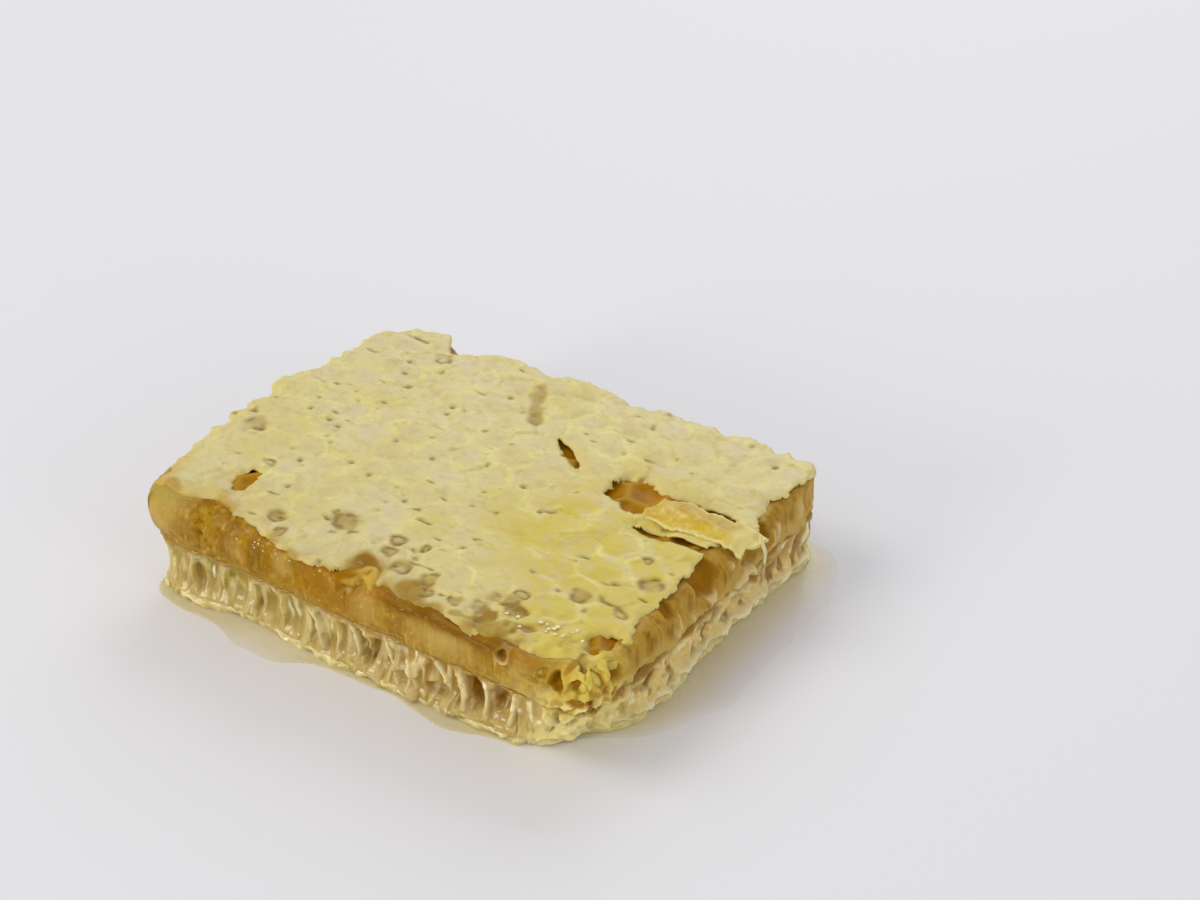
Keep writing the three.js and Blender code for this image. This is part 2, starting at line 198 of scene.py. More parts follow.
# %% How the side leans and where it is crushed
def side_lean(nx, height):
    """How far the side stands out from the plain outline at a height."""
    up = height / TOP
    return (np.maximum(nx, 0) ** 2 * RIGHT_FLARE * (0.5 - up)
            - np.maximum(-nx, 0) ** 2 * LEFT_TUCK * np.maximum(0, 1 - 2 * up))


def pushed(x, y, height):
    """How far, in x and in y, the crushed places push a point of the outline."""
    low = np.maximum(0, 1 - 1.6 * height / TOP)
    across, back = 0, 0
    for cx, cy, reach, depth, turn in CRUSHED:
        push = depth * near(x, y, cx, cy, reach) * low
        across = across + push * math.cos(math.radians(turn))
        back = back + push * math.sin(math.radians(turn))
    return across, back


def moved_out(x, y, nx, ny, distance, height):
    """Points moved out from the outline, with the crushed places pushed in. Returns x, y, z."""
    across, back = pushed(x, y, height)
    px, py = x + nx * distance + across, y + ny * distance + back
    return np.stack(np.broadcast_arrays(px, py, wedge(px, height)), -1)


def wedge(x, height):
    """The block is thicker at its left end."""
    return height * (1 - (THICK_END - 1) * x / HALF_LENGTH)


# %% The cells that the knife cut
def cut_cells(x, y, step, shift):
    """For evenly spaced points round the outline: the cell cut there, how far across it, how wide."""
    column, row, *_ = cell_at(x, y, shift)
    change = np.flatnonzero((column != np.roll(column, 1)) | (row != np.roll(row, 1)))
    across, wide = np.zeros(len(x)), np.zeros(len(x))
    for start, end in zip(change, np.append(change[1:], change[0] + len(x))):
        index = np.arange(start, end) % len(x)
        across[index] = (np.arange(end - start) + 0.5) * step
        wide[index] = (end - start) * step
    return column, row, across, wide


# %% [markdown]
# ## Tools for making pieces
# A sheet starts as a grid primitive whose points are then moved. A ring round the block is a grid
# too: it is wrapped round, its two ends are merged, and its first and last rows shrink to a point.

# %% Pieces from grids
def start_piece(name, operator, **settings):
    """Runs one primitive operator with nothing selected, and names what it made."""
    bpy.ops.object.select_all(action="DESELECT")
    operator(**settings)
    piece = bpy.context.object
    piece.name = piece.data.name = name
    return piece


def select_only(piece):
    """Makes one piece the active and only selected one."""
    bpy.ops.object.select_all(action="DESELECT")
    piece.select_set(True)
    bpy.context.view_layer.objects.active = piece


def set_points(piece, points):
    """Moves a piece's points. They come in millimetres."""
    piece.data.vertices.foreach_set("co", (np.asarray(points, float).reshape(-1, 3) * MM).ravel())
    piece.data.update()


def points_of(piece):
    """A piece's points, in millimetres."""
    points = np.zeros(len(piece.data.vertices) * 3)
    piece.data.vertices.foreach_get("co", points)
    return points.reshape(-1, 3) / MM


def paint(piece, name, values):
    """Keeps one value per point, from 0 to 1, for the materials to read."""
    layer = piece.data.attributes.new(name, "FLOAT", "POINT")
    values = np.broadcast_to(values, len(piece.data.vertices))
    layer.data.foreach_set("value", np.clip(values, 0, 1).astype(float))


MERGE_WITHIN = 0.002  # points closer than this, in millimetres, become one


def clean(piece, merge=True):
    """Merges doubled points, turns every face outward and shades the piece smooth."""
    select_only(piece)
    bpy.ops.object.mode_set(mode="EDIT")
    bpy.ops.mesh.select_all(action="SELECT")
    if merge:
        bpy.ops.mesh.remove_doubles(threshold=MERGE_WITHIN * MM)
    bpy.ops.mesh.normals_make_consistent(inside=False)
    bpy.ops.object.mode_set(mode="OBJECT")
    bpy.ops.object.shade_smooth()


# %% Rings round the block
def ring_piece(name, rings, painted):
    """A closed piece from rings of points, lowest first, whose two ends shrink to a point."""
    rows, count = rings.shape[:2]
    ends = [np.repeat([np.append(rings[row, :, :2].mean(0), rings[row, :, 2].mean())], count, 0)
            for row in (0, -1)]
    stack = np.concatenate([ends[:1], rings, ends[1:]])
    stack = np.concatenate([stack, stack[:, :1]], axis=1)
    piece = start_piece(name, bpy.ops.mesh.primitive_grid_add,
                        x_subdivisions=count, y_subdivisions=rows + 1, size=1)
    set_points(piece, stack)
    for mask, values in painted.items():
        full = np.concatenate([values[:1], values, values[-1:]])
        paint(piece, mask, np.concatenate([full, full[:, :1]], axis=1).ravel())
    clean(piece)
    print(f"{name}: {len(piece.data.polygons)} faces")
    return piece


# %% [markdown]
# ## Camera, light and floor
# A long lens looks from the front right, a little from above. The light is a bright, soft studio: a
# pale world, a large window of light above left, a softer one behind for the wet glints, a small low
# one in front that lifts the cut side, and a weak one for the right side.

# %% Camera
CAMERA_AT = Vector((195.8, -287.9, 246.6)) * MM
LOOK = Vector((-0.4391, 0.7166, -0.5419)).normalized()
ROLL = math.radians(1.79)
LENS, SENSOR = 84.68, 36       # in millimetres
NEAREST, FARTHEST = 0.01, 10   # what the camera sees, in metres
bpy.ops.object.camera_add(location=CAMERA_AT)
camera = bpy.context.object
right = LOOK.cross(Vector((0, 0, 1))).normalized()
up = right.cross(LOOK)
across = right * math.cos(ROLL) + up * math.sin(ROLL)
upward = up * math.cos(ROLL) - right * math.sin(ROLL)
camera.rotation_euler = Matrix((across, upward, -LOOK)).transposed().to_euler()
camera.data.lens, camera.data.sensor_width = LENS, SENSOR
camera.data.clip_start, camera.data.clip_end = NEAREST, FARTHEST
bpy.context.scene.camera = camera
print(f"the camera is {CAMERA_AT.length:.2f} m from the middle of the foot")


# %% Colours and plain materials
def colour(code):
    """An sRGB hex code as the linear colour that shaders use."""
    parts = [int(code[i:i + 2], 16) / 255 for i in (0, 2, 4)]
    return tuple(p / 12.92 if p <= 0.04045 else ((p + 0.055) / 1.055) ** 2.4 for p in parts) + (1.0,)


def new_material(name, **values):
    """A material, its node tree and its surface node, with the surface's plain values filled in."""
    material = bpy.data.materials.new(name)
    material.use_nodes = True
    surface = material.node_tree.nodes["Principled BSDF"]
    for socket, value in values.items():
        surface.inputs[socket.replace("_", " ")].default_value = value
    return material, material.node_tree, surface


# %% Light
WORLD_COLOUR, WORLD_STRENGTH = "F4F5F8", 0.58
WINDOWS = [  # name, place in metres, size, watts, colour
    ("window left", (-0.62, -0.30, 0.75), 0.55, 3.1, "FFF9F0"),
    ("window back", (-0.20, 0.80, 0.50), 0.60, 2.4, "FFFFFF"),
    ("window front", (-0.30, -0.85, 0.28), 0.25, 2.6, "FFFBF2"),
    ("window right", (0.85, -0.20, 0.22), 0.40, 1.3, "FFFBF2"),
]
scene = bpy.context.scene
scene.view_settings.view_transform = "Standard"
world = bpy.data.worlds.new("studio")
scene.world = world
world.use_nodes = True
background = world.node_tree.nodes["Background"]
background.inputs["Color"].default_value = colour(WORLD_COLOUR)
background.inputs["Strength"].default_value = WORLD_STRENGTH
for name, place, size, watts, tint in WINDOWS:
    bpy.ops.object.light_add(type="AREA", location=place)
    lamp = bpy.context.object
    lamp.name = name
    lamp.data.size, lamp.data.energy, lamp.data.color = size, watts, colour(tint)[:3]
    lamp.rotation_euler = (-Vector(place)).to_track_quat("-Z", "Y").to_euler()
    lamp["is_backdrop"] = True
print(f"{len(WINDOWS)} windows of light, {sum(row[3] for row in WINDOWS):.1f} W together")

# %% Floor
FLOOR_SIZE, FLOOR_DROP = 6, 0.02  # metres across, and millimetres under the block
floor = start_piece("floor", bpy.ops.mesh.primitive_plane_add,
                    size=FLOOR_SIZE, location=(0, 0, -FLOOR_DROP * MM))
floor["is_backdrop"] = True
# Unglazed, almost white and a little cool: it gives soft shadows and doesn't mirror the block.
paper, *_ = new_material("pale matt floor", Base_Color=colour("E4E4E8"), Roughness=0.6)
floor.data.materials.append(paper)

# %% [markdown]
# ## The lower tier of cells
# The knife cut these cells open lengthwise and most of their honey ran out. What is left is a row of
# thin pale walls, arched at the top where they meet the midrib, with hollow half cells between them.
# A Boolean could cut each one, but its edges would be too clean. Here the side is one fine ring of
# points moved in and out, and the lattice says how far: a hollow is as deep as the cut cell still is.

# %% Points round the block
RING_COUNT = 2100
ox, oy, nx, ny, step = outline(RING_COUNT)
front = ramp(-ny, 0.4, 0.9)
on_right = ramp(nx, 0.3, 0.9)
crushed = near(ox, oy, 39, -30, 9)
print(f"the outline is {RING_COUNT * step:.0f} mm long, with a point every {step:.2f} mm")


# %% Reading the lattice round the ring
PROBE, PROBE_TO = 0.15, 4.5  # a cell's depth is felt for in steps, up to this far


def depth_of_cut(shift):
    """How far behind the cut each cut cell's far wall stands, in millimetres."""
    column, row, *_ = cell_at(ox, oy, shift)
    depth, still_inside = np.zeros(RING_COUNT), np.ones(RING_COUNT, bool)
    for reach in np.arange(PROBE, PROBE_TO, PROBE):
        here = cell_at(ox - nx * reach, oy - ny * reach, shift)
        still_inside &= (here[0] == column) & (here[1] == row)
        depth = np.where(still_inside, reach, depth)
    kernel = np.hanning(7) / np.hanning(7).sum()  # the honey film rounds the corners
    return np.convolve(np.concatenate([depth[-3:], depth, depth[:3]]), kernel, "valid")


def shifted(values, offset):
    """The values round the ring, read from a little further along."""
    index = np.arange(RING_COUNT) + offset / step
    low, part = np.floor(index).astype(int), index % 1
    return values[low % RING_COUNT] * (1 - part) + values[(low + 1) % RING_COUNT] * part


def nearest_column(values):
    """Like shifted, but without mixing neighbours, for what belongs to one cell."""
    return values[np.round(np.arange(RING_COUNT) + slant / step).astype(int) % RING_COUNT]


def soft_least(*values, blend=0.2):
    """The least of several values, with the meeting rounded off."""
    return -blend * np.log(sum(np.exp(-np.broadcast_to(v, values[0].shape) / blend) for v in values))


def most(first, *others):
    """The greatest of several values."""
    for other in others:
        first = np.maximum(first, other)
    return first


def side_noise(size, seed, stretch=1.0):
    """Noise over the side that is being made. A stretch below 1 draws it out upright."""
    return noise(at_x, at_y, height * stretch, size, seed)


# %% Rows of the lower ring, and the cell that each point cuts
LOWER_ROWS = 42
height = np.linspace(LOWER_FOOT - 0.5, UPPER_FOOT - 0.1, LOWER_ROWS)[:, None]
share_up = (height - LOWER_FOOT) / (MIDRIB_FOOT - LOWER_FOOT)
belly = np.sin(np.pi * np.clip(share_up, 0, 1))
push_x, push_y = pushed(ox, oy, height)
at_x, at_y = ox + push_x, oy + push_y  # patterns are read here, so that crushed walls stay upright
slant = ((1.1 + 0.9 * on_right) * side_noise(5, 41) * belly
         + 0.9 * np.maximum(nx, 0) * (share_up - 0.5) + push_y * nx - push_x * ny)
column, row, across_cut, wide = cut_cells(ox, oy, step, LOWER_SHIFT)
side_depth = shifted(depth_of_cut(LOWER_SHIFT), slant)
chance, arch_chance, foot_chance, honey_chance = (
    nearest_column(chance_of(column, row, seed)) for seed in (1, 31, 32, 33))
across_share = nearest_column(across_cut / wide)

# %% The hollows of the drained cells
DRAINED = (0.9, 2.1)  # least and most depth of a hollow
arch = 0.2 + 1.2 * np.abs(2 * across_share - 1) ** 2 + 0.9 * arch_chance
from_top = 1.1 * (MIDRIB_FOOT + 0.5 - arch - height)
from_foot = 0.7 * (height - LOWER_FOOT + 0.2 - 0.5 * side_noise(3.1, 43, 0) - 0.9 * foot_chance)
full_cell = ramp(honey_chance, 0.55, 0.65) * ramp(ox, -4, 10)  # honey still standing in it
deepest = DRAINED[0] + (DRAINED[1] - DRAINED[0]) * chance + 0.4 * side_noise(2.4, 46)
deepest = deepest * (1 - 0.35 * full_cell) * (1 - 0.6 * crushed)
wall_here = ramp(side_depth, 0.75, 0.1)
gap = ramp(side_noise(2.8, 47), 0.45, 0.7) * ramp(share_up, 0.02, 0.2) * ramp(share_up, 0.98, 0.8)
hollow = soft_least(side_depth - 0.1 + 0 * height, from_top, from_foot, deepest)
hollow = (1 - 0.45 * on_right) * np.maximum(hollow, 0) + 0.9 * gap * wall_here
print(f"the lower cells are hollow to {hollow.max():.1f} mm")

# %% [markdown]
# ## Wear on the lower tier
# Honey ran down the walls and dried in streaks, which stand a little proud; their pale colour is partly
# painted reflection of the bright floor on the wet walls. Thin glints on the walls are painted highlights.
# The knife pushed a few walls askew and pressed crumpled wax into the cut. The right side was dragged rather
# than cut, so its walls are pulled to strands with amber between them, and its corner is crushed to a mass
# of pockets. Each kind of wear is one more layer of noise, kept to its own place by a soft mask.

# %% Streaks, glints and walls pushed askew
STRUTS = [  # two ends, each as x and height, and half the width
    ((12.3, 9.8), (14.9, 6.1), 0.5), ((31.2, 7.2), (33.6, 4.6), 0.45), ((-9.4, 9.4), (-6.6, 2.2), 0.4),
    ((8.2, 6.4), (9.8, 2.6), 0.5), ((17.4, 9.6), (17.9, 2.4), 0.6), ((21.6, 8.6), (21.5, 2.2), 0.5),
    ((4.4, 9.4), (6.4, 2.0), 0.5), ((-1.6, 9.2), (-0.4, 3.6), 0.4), ((36.4, 8.6), (37.0, 3.0), 0.4),
    ((26.4, 8.6), (25.6, 3.0), 0.45)]
# streak: runs of honey in relief, and paler, which is partly a painted reflection on the wet walls
streak = ramp(side_noise(0.95, 144, 0.25), 0.05, 0.55)
# glint: thin near-white flecks painted on as highlights of the wet honey film; they also stand a little
# proud
glint = ramp(side_noise(0.6, 160, 0.22), 0.3, 0.7) * ramp(side_noise(2.2, 161), -0.5, 0.3)
smear = 0.45 * ramp(side_noise(2.1, 48), 0.1, 0.7) * wall_here
strut = 0
for (low_x, low_z), (high_x, high_z), half_wide in STRUTS:
    run, rise = high_x - low_x, high_z - low_z
    t = np.clip(((at_x - low_x) * run + (height - low_z) * rise) / (run ** 2 + rise ** 2), 0, 1)
    far = np.hypot(at_x - low_x - t * run, height - low_z - t * rise) + 0.15 * side_noise(0.9, 151)
    strut = np.maximum(strut, ramp(far, 1.3 * half_wide, 0.4 * half_wide) * front)


# %% Openings and rims in a side
def openings_at(places, x, y, height):
    """How deep small openings in a side are. Each is x, y, z, half width, half height, depth."""
    total = 0
    for px, py, pz, half_wide, half_tall, depth in places:
        far = np.hypot(np.hypot(x - px, y - py) / half_wide, (height - pz) / half_tall)
        far = far + 0.25 * noise(x, y, height, 0.8 * half_wide, 20)
        total = total + depth * ramp(far, 1.1, 0.5)
    return total


def rims_at(places, x, y, height):
    """Rolled rims round torn cells: how proud they stand, and how deep the cell inside is.
    Each is x, y, z, radius, thickness, how proud."""
    proud, inside = 0, 0
    for px, py, pz, radius, thick, rise in places:
        far = np.hypot(np.hypot(x - px, y - py), height - pz) * (1 + 0.14 * noise(x, y, height, 1.4, 154))
        proud = proud + rise * np.exp(-((far - radius) / thick) ** 2)
        inside = inside + 0.8 * ramp(far, radius - 0.2, 0.5 * radius)
    return proud, inside


# %% Crumpled wax, pockets and openings
SLITS = [  # x, y, z, half width, half height, depth
    (37.2, -30.8, 8.0, 0.9, 2.0, 1.5), (34.6, -31.6, 4.8, 0.8, 2.0, 1.0),
    (37.8, -26.4, 7.0, 0.7, 2.0, 1.3), (38.8, -16.0, 6.2, 2.0, 2.6, 1.7),
    (38.5, -22.0, 8.0, 0.9, 2.0, 1.2), (38.4, -10.8, 4.8, 0.8, 1.6, 0.8),
    (13.6, -32.0, 3.6, 2.1, 1.8, 1.5), (19.8, -32.1, 6.0, 1.1, 3.4, 1.5),
    (23.6, -32.1, 6.6, 1.3, 2.9, 1.5), (1.0, -31.9, 4.0, 1.2, 2.0, 0.9)]
RIMS = [  # torn cells with a rolled rim: x, y, z, radius, thickness, how proud
    (33.4, -31.0, 14.6, 1.6, 0.5, 0.6), (39.3, 9.4, 9.2, 2.2, 0.75, 1.0),
    (39.3, 13.4, 14.6, 1.1, 0.4, 0.3), (24.6, -32.1, 15.1, 1.1, 0.35, 0.6),
    (38.6, -30.2, 9.6, 1.3, 0.4, 0.4)]
messy = np.clip(near(ox, oy, 9, -32, 10) + near(ox, oy, 40, 0, 20) + 0.7 * crushed, 0, 1)
torn_wax = messy * ramp(side_noise(1.6, 148), 0.1, 0.55)
pockets = crushed * ramp(side_noise(1.5, 171, 0.5), -0.1, 0.35) * ramp(share_up, 0.02, 0.25)
rims, inside_rims = rims_at(RIMS, at_x, at_y, height)
slits = openings_at(SLITS, at_x, at_y, height) + inside_rims

# %% The dragged right side
ledge = ramp(height + 0.4 * side_noise(2.0, 153, 0), 2.1, 1.0)  # the foot stands out as a thin ledge
skirt = on_right * ledge * ramp(oy, -26, -18)
rough_face = on_right * (1 - ledge)
undercut = rough_face * (0.1 + 0.7 * ramp(height, 9.0, 3.0) + 0.4 * side_noise(3.0, 156))
undercut = undercut * ramp(oy, -27, -19) * (1 - 0.5 * ramp(oy, 10, 24))
fibres = side_noise(1.35, 166, 0.4)
lumps = 0.15 * side_noise(1.6, 44) + 0.07 * side_noise(0.65, 45) + 0.3 * streak + 0.7 * torn_wax
lumps = lumps + 0.12 * glint + on_right * (0.5 * fibres + 0.25 * side_noise(0.8, 167, 0.6))
lumps = lumps * ramp(share_up, 1.0, 0.8) * (1 - 0.4 * skirt)

# %% The lower ring
uneven = 0.3 * waves(ox, oy, 19, LOWER_SHIFT + 1) * belly
dive = 1.2 * ramp(height, 9.1, 10.0)  # the top rows turn in under the tier above
out = (side_lean(nx, height) - (hollow * (1 - 0.6 * skirt) + slits + 0.9 * pockets) * (1 - 0.75 * strut)
       + smear + 0.12 * wall_here + rims + uneven + lumps + 0.15 * strut - dive
       + skirt * (0.5 * side_noise(2.2, 149, 0) - 0.1) - undercut - 0.1)
closed = 1 - ramp(slits, 0.3, 0.8)
up_the_corner = ramp(height + 1.5 * noise(ox, oy, height, 2.4, 169), 5.5, 9.5)
lower_comb = ring_piece("lower_cell_walls", moved_out(ox, oy, nx, ny, out, height), {
    # hollow: olive honey behind the thin wax, darker the deeper the hollow, which is partly painted shade
    "hollow": ramp(hollow, 0.4, 1.7) * (1 - 0.8 * streak),
    "amber": most(full_cell * ramp(hollow, 0.25, 1.0) * ramp(height, 1, 6), ramp(slits, 0.3, 1.0))
    * (1 - 0.5 * streak) * (1 - strut),
    "wall": (1 - 0.3 * rough_face) * most(wall_here * ramp(hollow, 0.9, 0.2), 0.6 * streak,
                                          0.6 * torn_wax, 0.9 * strut, ramp(rims, 0.15, 0.5)),
    # top: painted shade on the top rows, which turn in under the tier above
    "top": ramp(share_up + 0.06 * noise(ox, oy, height, 1.2, 150), 0.84, 1.0) * (1 - 0.6 * wall_here),
    "crushed": crushed * closed * (1 - 0.9 * pockets),
    "pockets": pockets,
    "yellow": crushed * closed * (1 - pockets) * up_the_corner,
    "skirt": skirt,
    "glint": glint * ramp(share_up, 0.0, 0.15) * ramp(share_up, 1.0, 0.9) * (1 - 0.2 * rough_face),
    "golden": 0.85 * ramp(ox, -8, 8) * front * (1 - wall_here),
    # rough: the dragged side's golden wax, partly lightened as painted light, since the lamps light the
    # right side little
    "rough": 0.9 * rough_face,
    "shade": 0.55 * front * ramp(height, 5.5, 3.0) * (1 - 0.6 * crushed),
    "behind": rough_face * ramp(oy, 5, 12) * ramp(height, 3.0, 6.0),
    "strands": rough_face * ramp(-fibres + 0.3 * side_noise(2.0, 168), -0.05, 0.35),
})

# %% [markdown]
# ## The upper tier, full of honey
# These cells stayed full. The cut face is smooth, because the honey has closed over the walls. Where
# the capping is torn back the honey slopes up to it, and at the front left corner it bulges out. It
# is a ring like the lower one, with a few more rows that roll over the top edge.

# %% Rows that climb the side and roll over
SIDE_ROWS, OVER_ROWS = 24, 10
HONEY_TOP = 16.15
torn = np.maximum(sum(depth * near(ox, oy, px, py, reach) for px, py, reach, depth in TORN_BACK), 0)
slope_in, slope_up = 1.0 + 0.85 * torn, 1.1 + 0.42 * torn
climb = np.concatenate([np.linspace(0, 1, SIDE_ROWS), np.ones(OVER_ROWS)])[:, None]
over = np.concatenate([np.zeros(SIDE_ROWS), np.linspace(0.1, 1, OVER_ROWS)])[:, None] * math.pi / 2
shoulder = HONEY_TOP - slope_up
height = (UPPER_FOOT - 0.6) + (shoulder - UPPER_FOOT + 0.6) * climb + slope_up * np.sin(over)
share_up = np.clip((height - UPPER_FOOT) / (CAPPING_FOOT - UPPER_FOOT), 0, 1)
belly = np.sin(np.pi * share_up)
at_x, at_y = ox, oy

# %% Emptied cells, pockets and openings
FULL = (0.3, 1.1)  # least and most depth behind the cut of a cell that is still full
EMPTIED_SHARE, EMPTIED_DEPTH = 0.16, 2.4
OPENINGS = [  # x, y, z, half width, half height, depth
    (33.4, -31.6, 14.2, 1.5, 1.7, 1.8), (-28.4, -31.7, 13.1, 0.4, 0.4, 0.5),
    (36.4, -31.6, 14.9, 1.5, 1.2, 1.4), (38.2, -30.8, 11.6, 0.8, 1.4, 1.2),
    (39.0, -29.2, 15.0, 1.1, 1.0, 1.2), (39.4, -25.6, 14.6, 1.6, 1.4, 1.3),
    (29.0, -32.1, 13.2, 1.6, 0.6, 0.5), (-1.6, -32.1, 14.6, 2.2, 1.6, 1.0),
    (39.3, 14.6, 15.0, 1.8, 1.6, 1.4), (39.0, -10.5, 15.6, 1.6, 1.8, 1.7),
    (39.0, -0.5, 15.2, 3.8, 2.6, 2.6), (39.0, 10.0, 13.0, 2.2, 1.6, 0.8),
    (31.2, -32.1, 15.0, 0.9, 0.9, 0.7)]
column, row, *_ = cut_cells(ox, oy, step, UPPER_SHIFT)
chance = chance_of(column, row, 2)
emptied = (chance < EMPTIED_SHARE) & (nx > 0.5)
depth = np.where(emptied, EMPTIED_DEPTH, FULL[0] + (FULL[1] - FULL[0]) * chance)
hollow = soft_least(depth_of_cut(UPPER_SHIFT) + 0 * height, depth + 0 * height)
hollow = np.maximum(hollow * belly ** 0.6 * (1 - 0.75 * front - 0.5 * on_right), 0)
corner = near(ox, oy, 38, -31, 8.5)  # lumpy wax pulled over the corner
pockets = ramp(corner, 0.3, 0.7) * ramp(side_noise(1.9, 172), 0.0, 0.4) * ramp(share_up, 0.0, 0.2)
rims, inside_rims = rims_at(RIMS, ox, oy, height)
openings = openings_at(OPENINGS, ox, oy, height) + 0.6 * pockets + inside_rims
print(f"{len(set(zip(column[emptied], row[emptied])))} cells on the right are emptied")

# %% Lumps, and blobs of pale honey on the right side
BLOBS = [  # x, y, z, reach, how proud
    (39.3, -9.6, 12.6, 1.8, 0.7), (39.3, -0.6, 11.4, 3.0, 0.9), (39.3, 5.4, 14.6, 1.5, 0.9),
    (39.3, 17.4, 12.6, 2.8, 0.7), (39.3, 25.0, 13.4, 2.4, 0.5), (39.3, -5.2, 11.0, 1.2, 0.6)]
lobe = near(ox, oy, *LOBE[:3])
lumps = 0.22 * side_noise(3.4, 51) + 0.1 * side_noise(1.4, 52) + 0.05 * side_noise(0.7, 152)
lumps = lumps + corner * (0.9 * side_noise(2.3, 53) + 0.5 * side_noise(1.0, 54))
lumps = lumps + corner * 0.25 * side_noise(0.55, 177)
foot_lumps = 0.35 * side_noise(1.5, 166) + 0.2 * side_noise(0.8, 167)
lumps = lumps + on_right * ramp(share_up, 0.5, 0.1) * foot_lumps
flecks = side_noise(1.1, 178) + 0.6 * side_noise(0.5, 179)
warp = 0.45 * side_noise(1.7, 182) + 0.2 * side_noise(0.7, 183)
blob = 0
for px, py, pz, reach, proud in BLOBS:
    far = np.hypot(np.hypot(ox - px, oy - py) * 1.2, (height - pz) * 0.8) / reach + warp
    blob = blob + ramp(far, 1.1, 0.2) * proud / 0.9
worn = ramp(share_up, 0.16 + 0.2 * on_right, -0.08) * (0.5 + 0.3 * on_right)
worn = worn * (1 + 0.8 * noise(ox, oy, 0, 3.0, 157))

# %% Crumbs of wax in the front notch
in_notch = near(ox, oy, -0.9, -32, 3.0) * ramp(share_up, 0.45, 0.85)
bits = noise(ox, oy, height + over, 1.3, 158) + 0.5 * noise(ox, oy, height + over, 0.6, 180)
rough_notch = 0.45 * ramp(torn, 1.0, 3.0) * side_noise(1.3, 158) * ramp(share_up, 0.3, 0.8)
rough_notch = rough_notch + 0.55 * in_notch * ramp(bits, -0.3, 0.5)

# %% Haze, dark honey and other tints, as masks
# shadow: painted shade at the top of the front, under the capping's overhanging edge
shadow = ramp(share_up, 0.55, 1.0) * front * ramp(ox, -16, 2) * ramp(ox, 36, 28)
haze = ramp(side_noise(4.5, 55), 0.1, 0.7) * (0.4 + 0.3 * front)
haze = most(haze, near(ox, height, 0.8, 13.4, 2.8) * front,
            0.9 * near(ox, height * 2, 14, 25.6, 5.5) * front)
# painted glints: small pale dots that stand in for highlights on the wet honey at the front
painted_glints = 0.6 * ramp(side_noise(0.45, 162), 0.66, 0.9) * (0.3 + near(ox, height, -5, 15.5, 6)) * front
# under: a painted shadow line just below the capping's edge, where it overhangs the honey
under = np.exp(-((share_up - 0.93 - 0.06 * noise(ox, oy, 0, 2.6, 173)) / 0.12) ** 2)
patchy_low = share_up + 0.2 * side_noise(2.4, 155)
pale_foot = ramp(height + 1.5 * side_noise(2.4, 169), 13.5, 10.0)
tints = {
    "haze": haze,
    "painted_glints": painted_glints,
    # dark: darker honey near the front notch, plus painted shade under the capping and in deep hollows and
    # openings
    "dark": most(near(ox, height, -5, 15.8, 6.0) * front, 0.7 * shadow, ramp(hollow + openings, 0.6, 1.5)),
    "pockets": pockets,
    "bits": in_notch * ramp(bits, -0.15, 0.4),
    "flecks": corner * ramp(flecks, 0.05, 0.6),
    "under": under * front * ramp(ox, 2, 6) * ramp(ox, 27, 22),
    "waxy": corner * ramp(openings, 0.6, 0.1) * ramp(side_noise(3.0, 57), -0.9, 0.3),
    "pale": corner * pale_foot * ramp(openings, 0.6, 0.1),
    "skin": ramp(lobe, 0.25, 0.75) * ramp(share_up + 0.15 * side_noise(2.5, 58), 0.6, 1.1),
    # right: the dragged side's own tone, partly lightened as painted light for the side the lamps light less
    "right": on_right,
    "blob": most(0.75 * ramp(blob, 0.15, 0.8) * ramp(side_noise(0.8, 184, 0.3), -0.7, 0.2),
                 ramp(rims, 0.15, 0.6) * ramp(corner, 0.6, 0.2)),
    "low": ramp(patchy_low, 0.5, -0.05) * front,
    "foot": ramp(patchy_low, 0.55, 0.0) * on_right,
}

# %% The upper ring
TUCKED = ((0.7, 0.1), (1.8, 1.5))  # two last rows that turn in under the capping: how far in, how far down
out = (side_lean(nx, height) - hollow - openings + 1.2 * LOBE[3] * lobe * belly
       + 0.3 * waves(ox, oy, 19, 1) * belly + lumps + 0.9 * blob + rims - worn + rough_notch + 0.15
       - slope_in * (1 - np.cos(over)))
upper = moved_out(ox, oy, nx, ny, out, height)
upper[..., 2] += 0.4 * noise(ox, oy, 0, 3.4, 165) * ramp(share_up, 0.4, 0.0)  # an uneven lower edge
tucked = [moved_out(ox, oy, nx, ny, out[-1] - inward, HONEY_TOP - drop + 0 * ox) for inward, drop in TUCKED]
full_tints = {}
for name, mask in tints.items():
    mask = mask + 0 * height
    full_tints[name] = np.concatenate([mask, np.repeat(mask[-1:], len(TUCKED), 0)])
upper_comb = ring_piece("upper_cells_of_honey", np.concatenate([upper, np.stack(tucked)]), full_tints)

# %% [markdown]
# ## Midrib and lower capping
# Both show only as the ragged edge of a thin sheet: the midrib as a faint line between the tiers,
# the lower capping as a pale crinkled strip on which the block stands. Only their edges are made.

# %% Midrib and lower capping
def edge_sheet(name, low, high, proud, ragged, seed, rows, fine):
    """The ragged edge of a flat sheet of wax, as a ring round the block."""
    t = np.linspace(0, 1, rows)[:, None]
    height = low + (high - low) * t
    rough = waves(ox, oy, 7, seed) + 0.6 * waves(ox, oy, 3.1, seed + 4)
    crinkle = noise(ox, oy, height * 2, 1.6, seed + 60) + 0.5 * noise(ox, oy, height * 2, 0.7, seed + 61)
    out = side_lean(nx, height) + proud + ragged * rough + fine * crinkle + 0.15 * (1 - (2 * t - 1) ** 2)
    points = moved_out(ox, oy, nx, ny, out, height)
    wobble = 0.35 * noise(ox, oy, 0, 2.3, seed + 62) + 0.22 * noise(ox, oy, 0, 0.9, seed + 63)
    points[..., 2] = np.maximum(points[..., 2] + wobble * np.sin(np.pi * np.minimum(t * 0.8, 1)), low)
    return ring_piece(name, points, {})


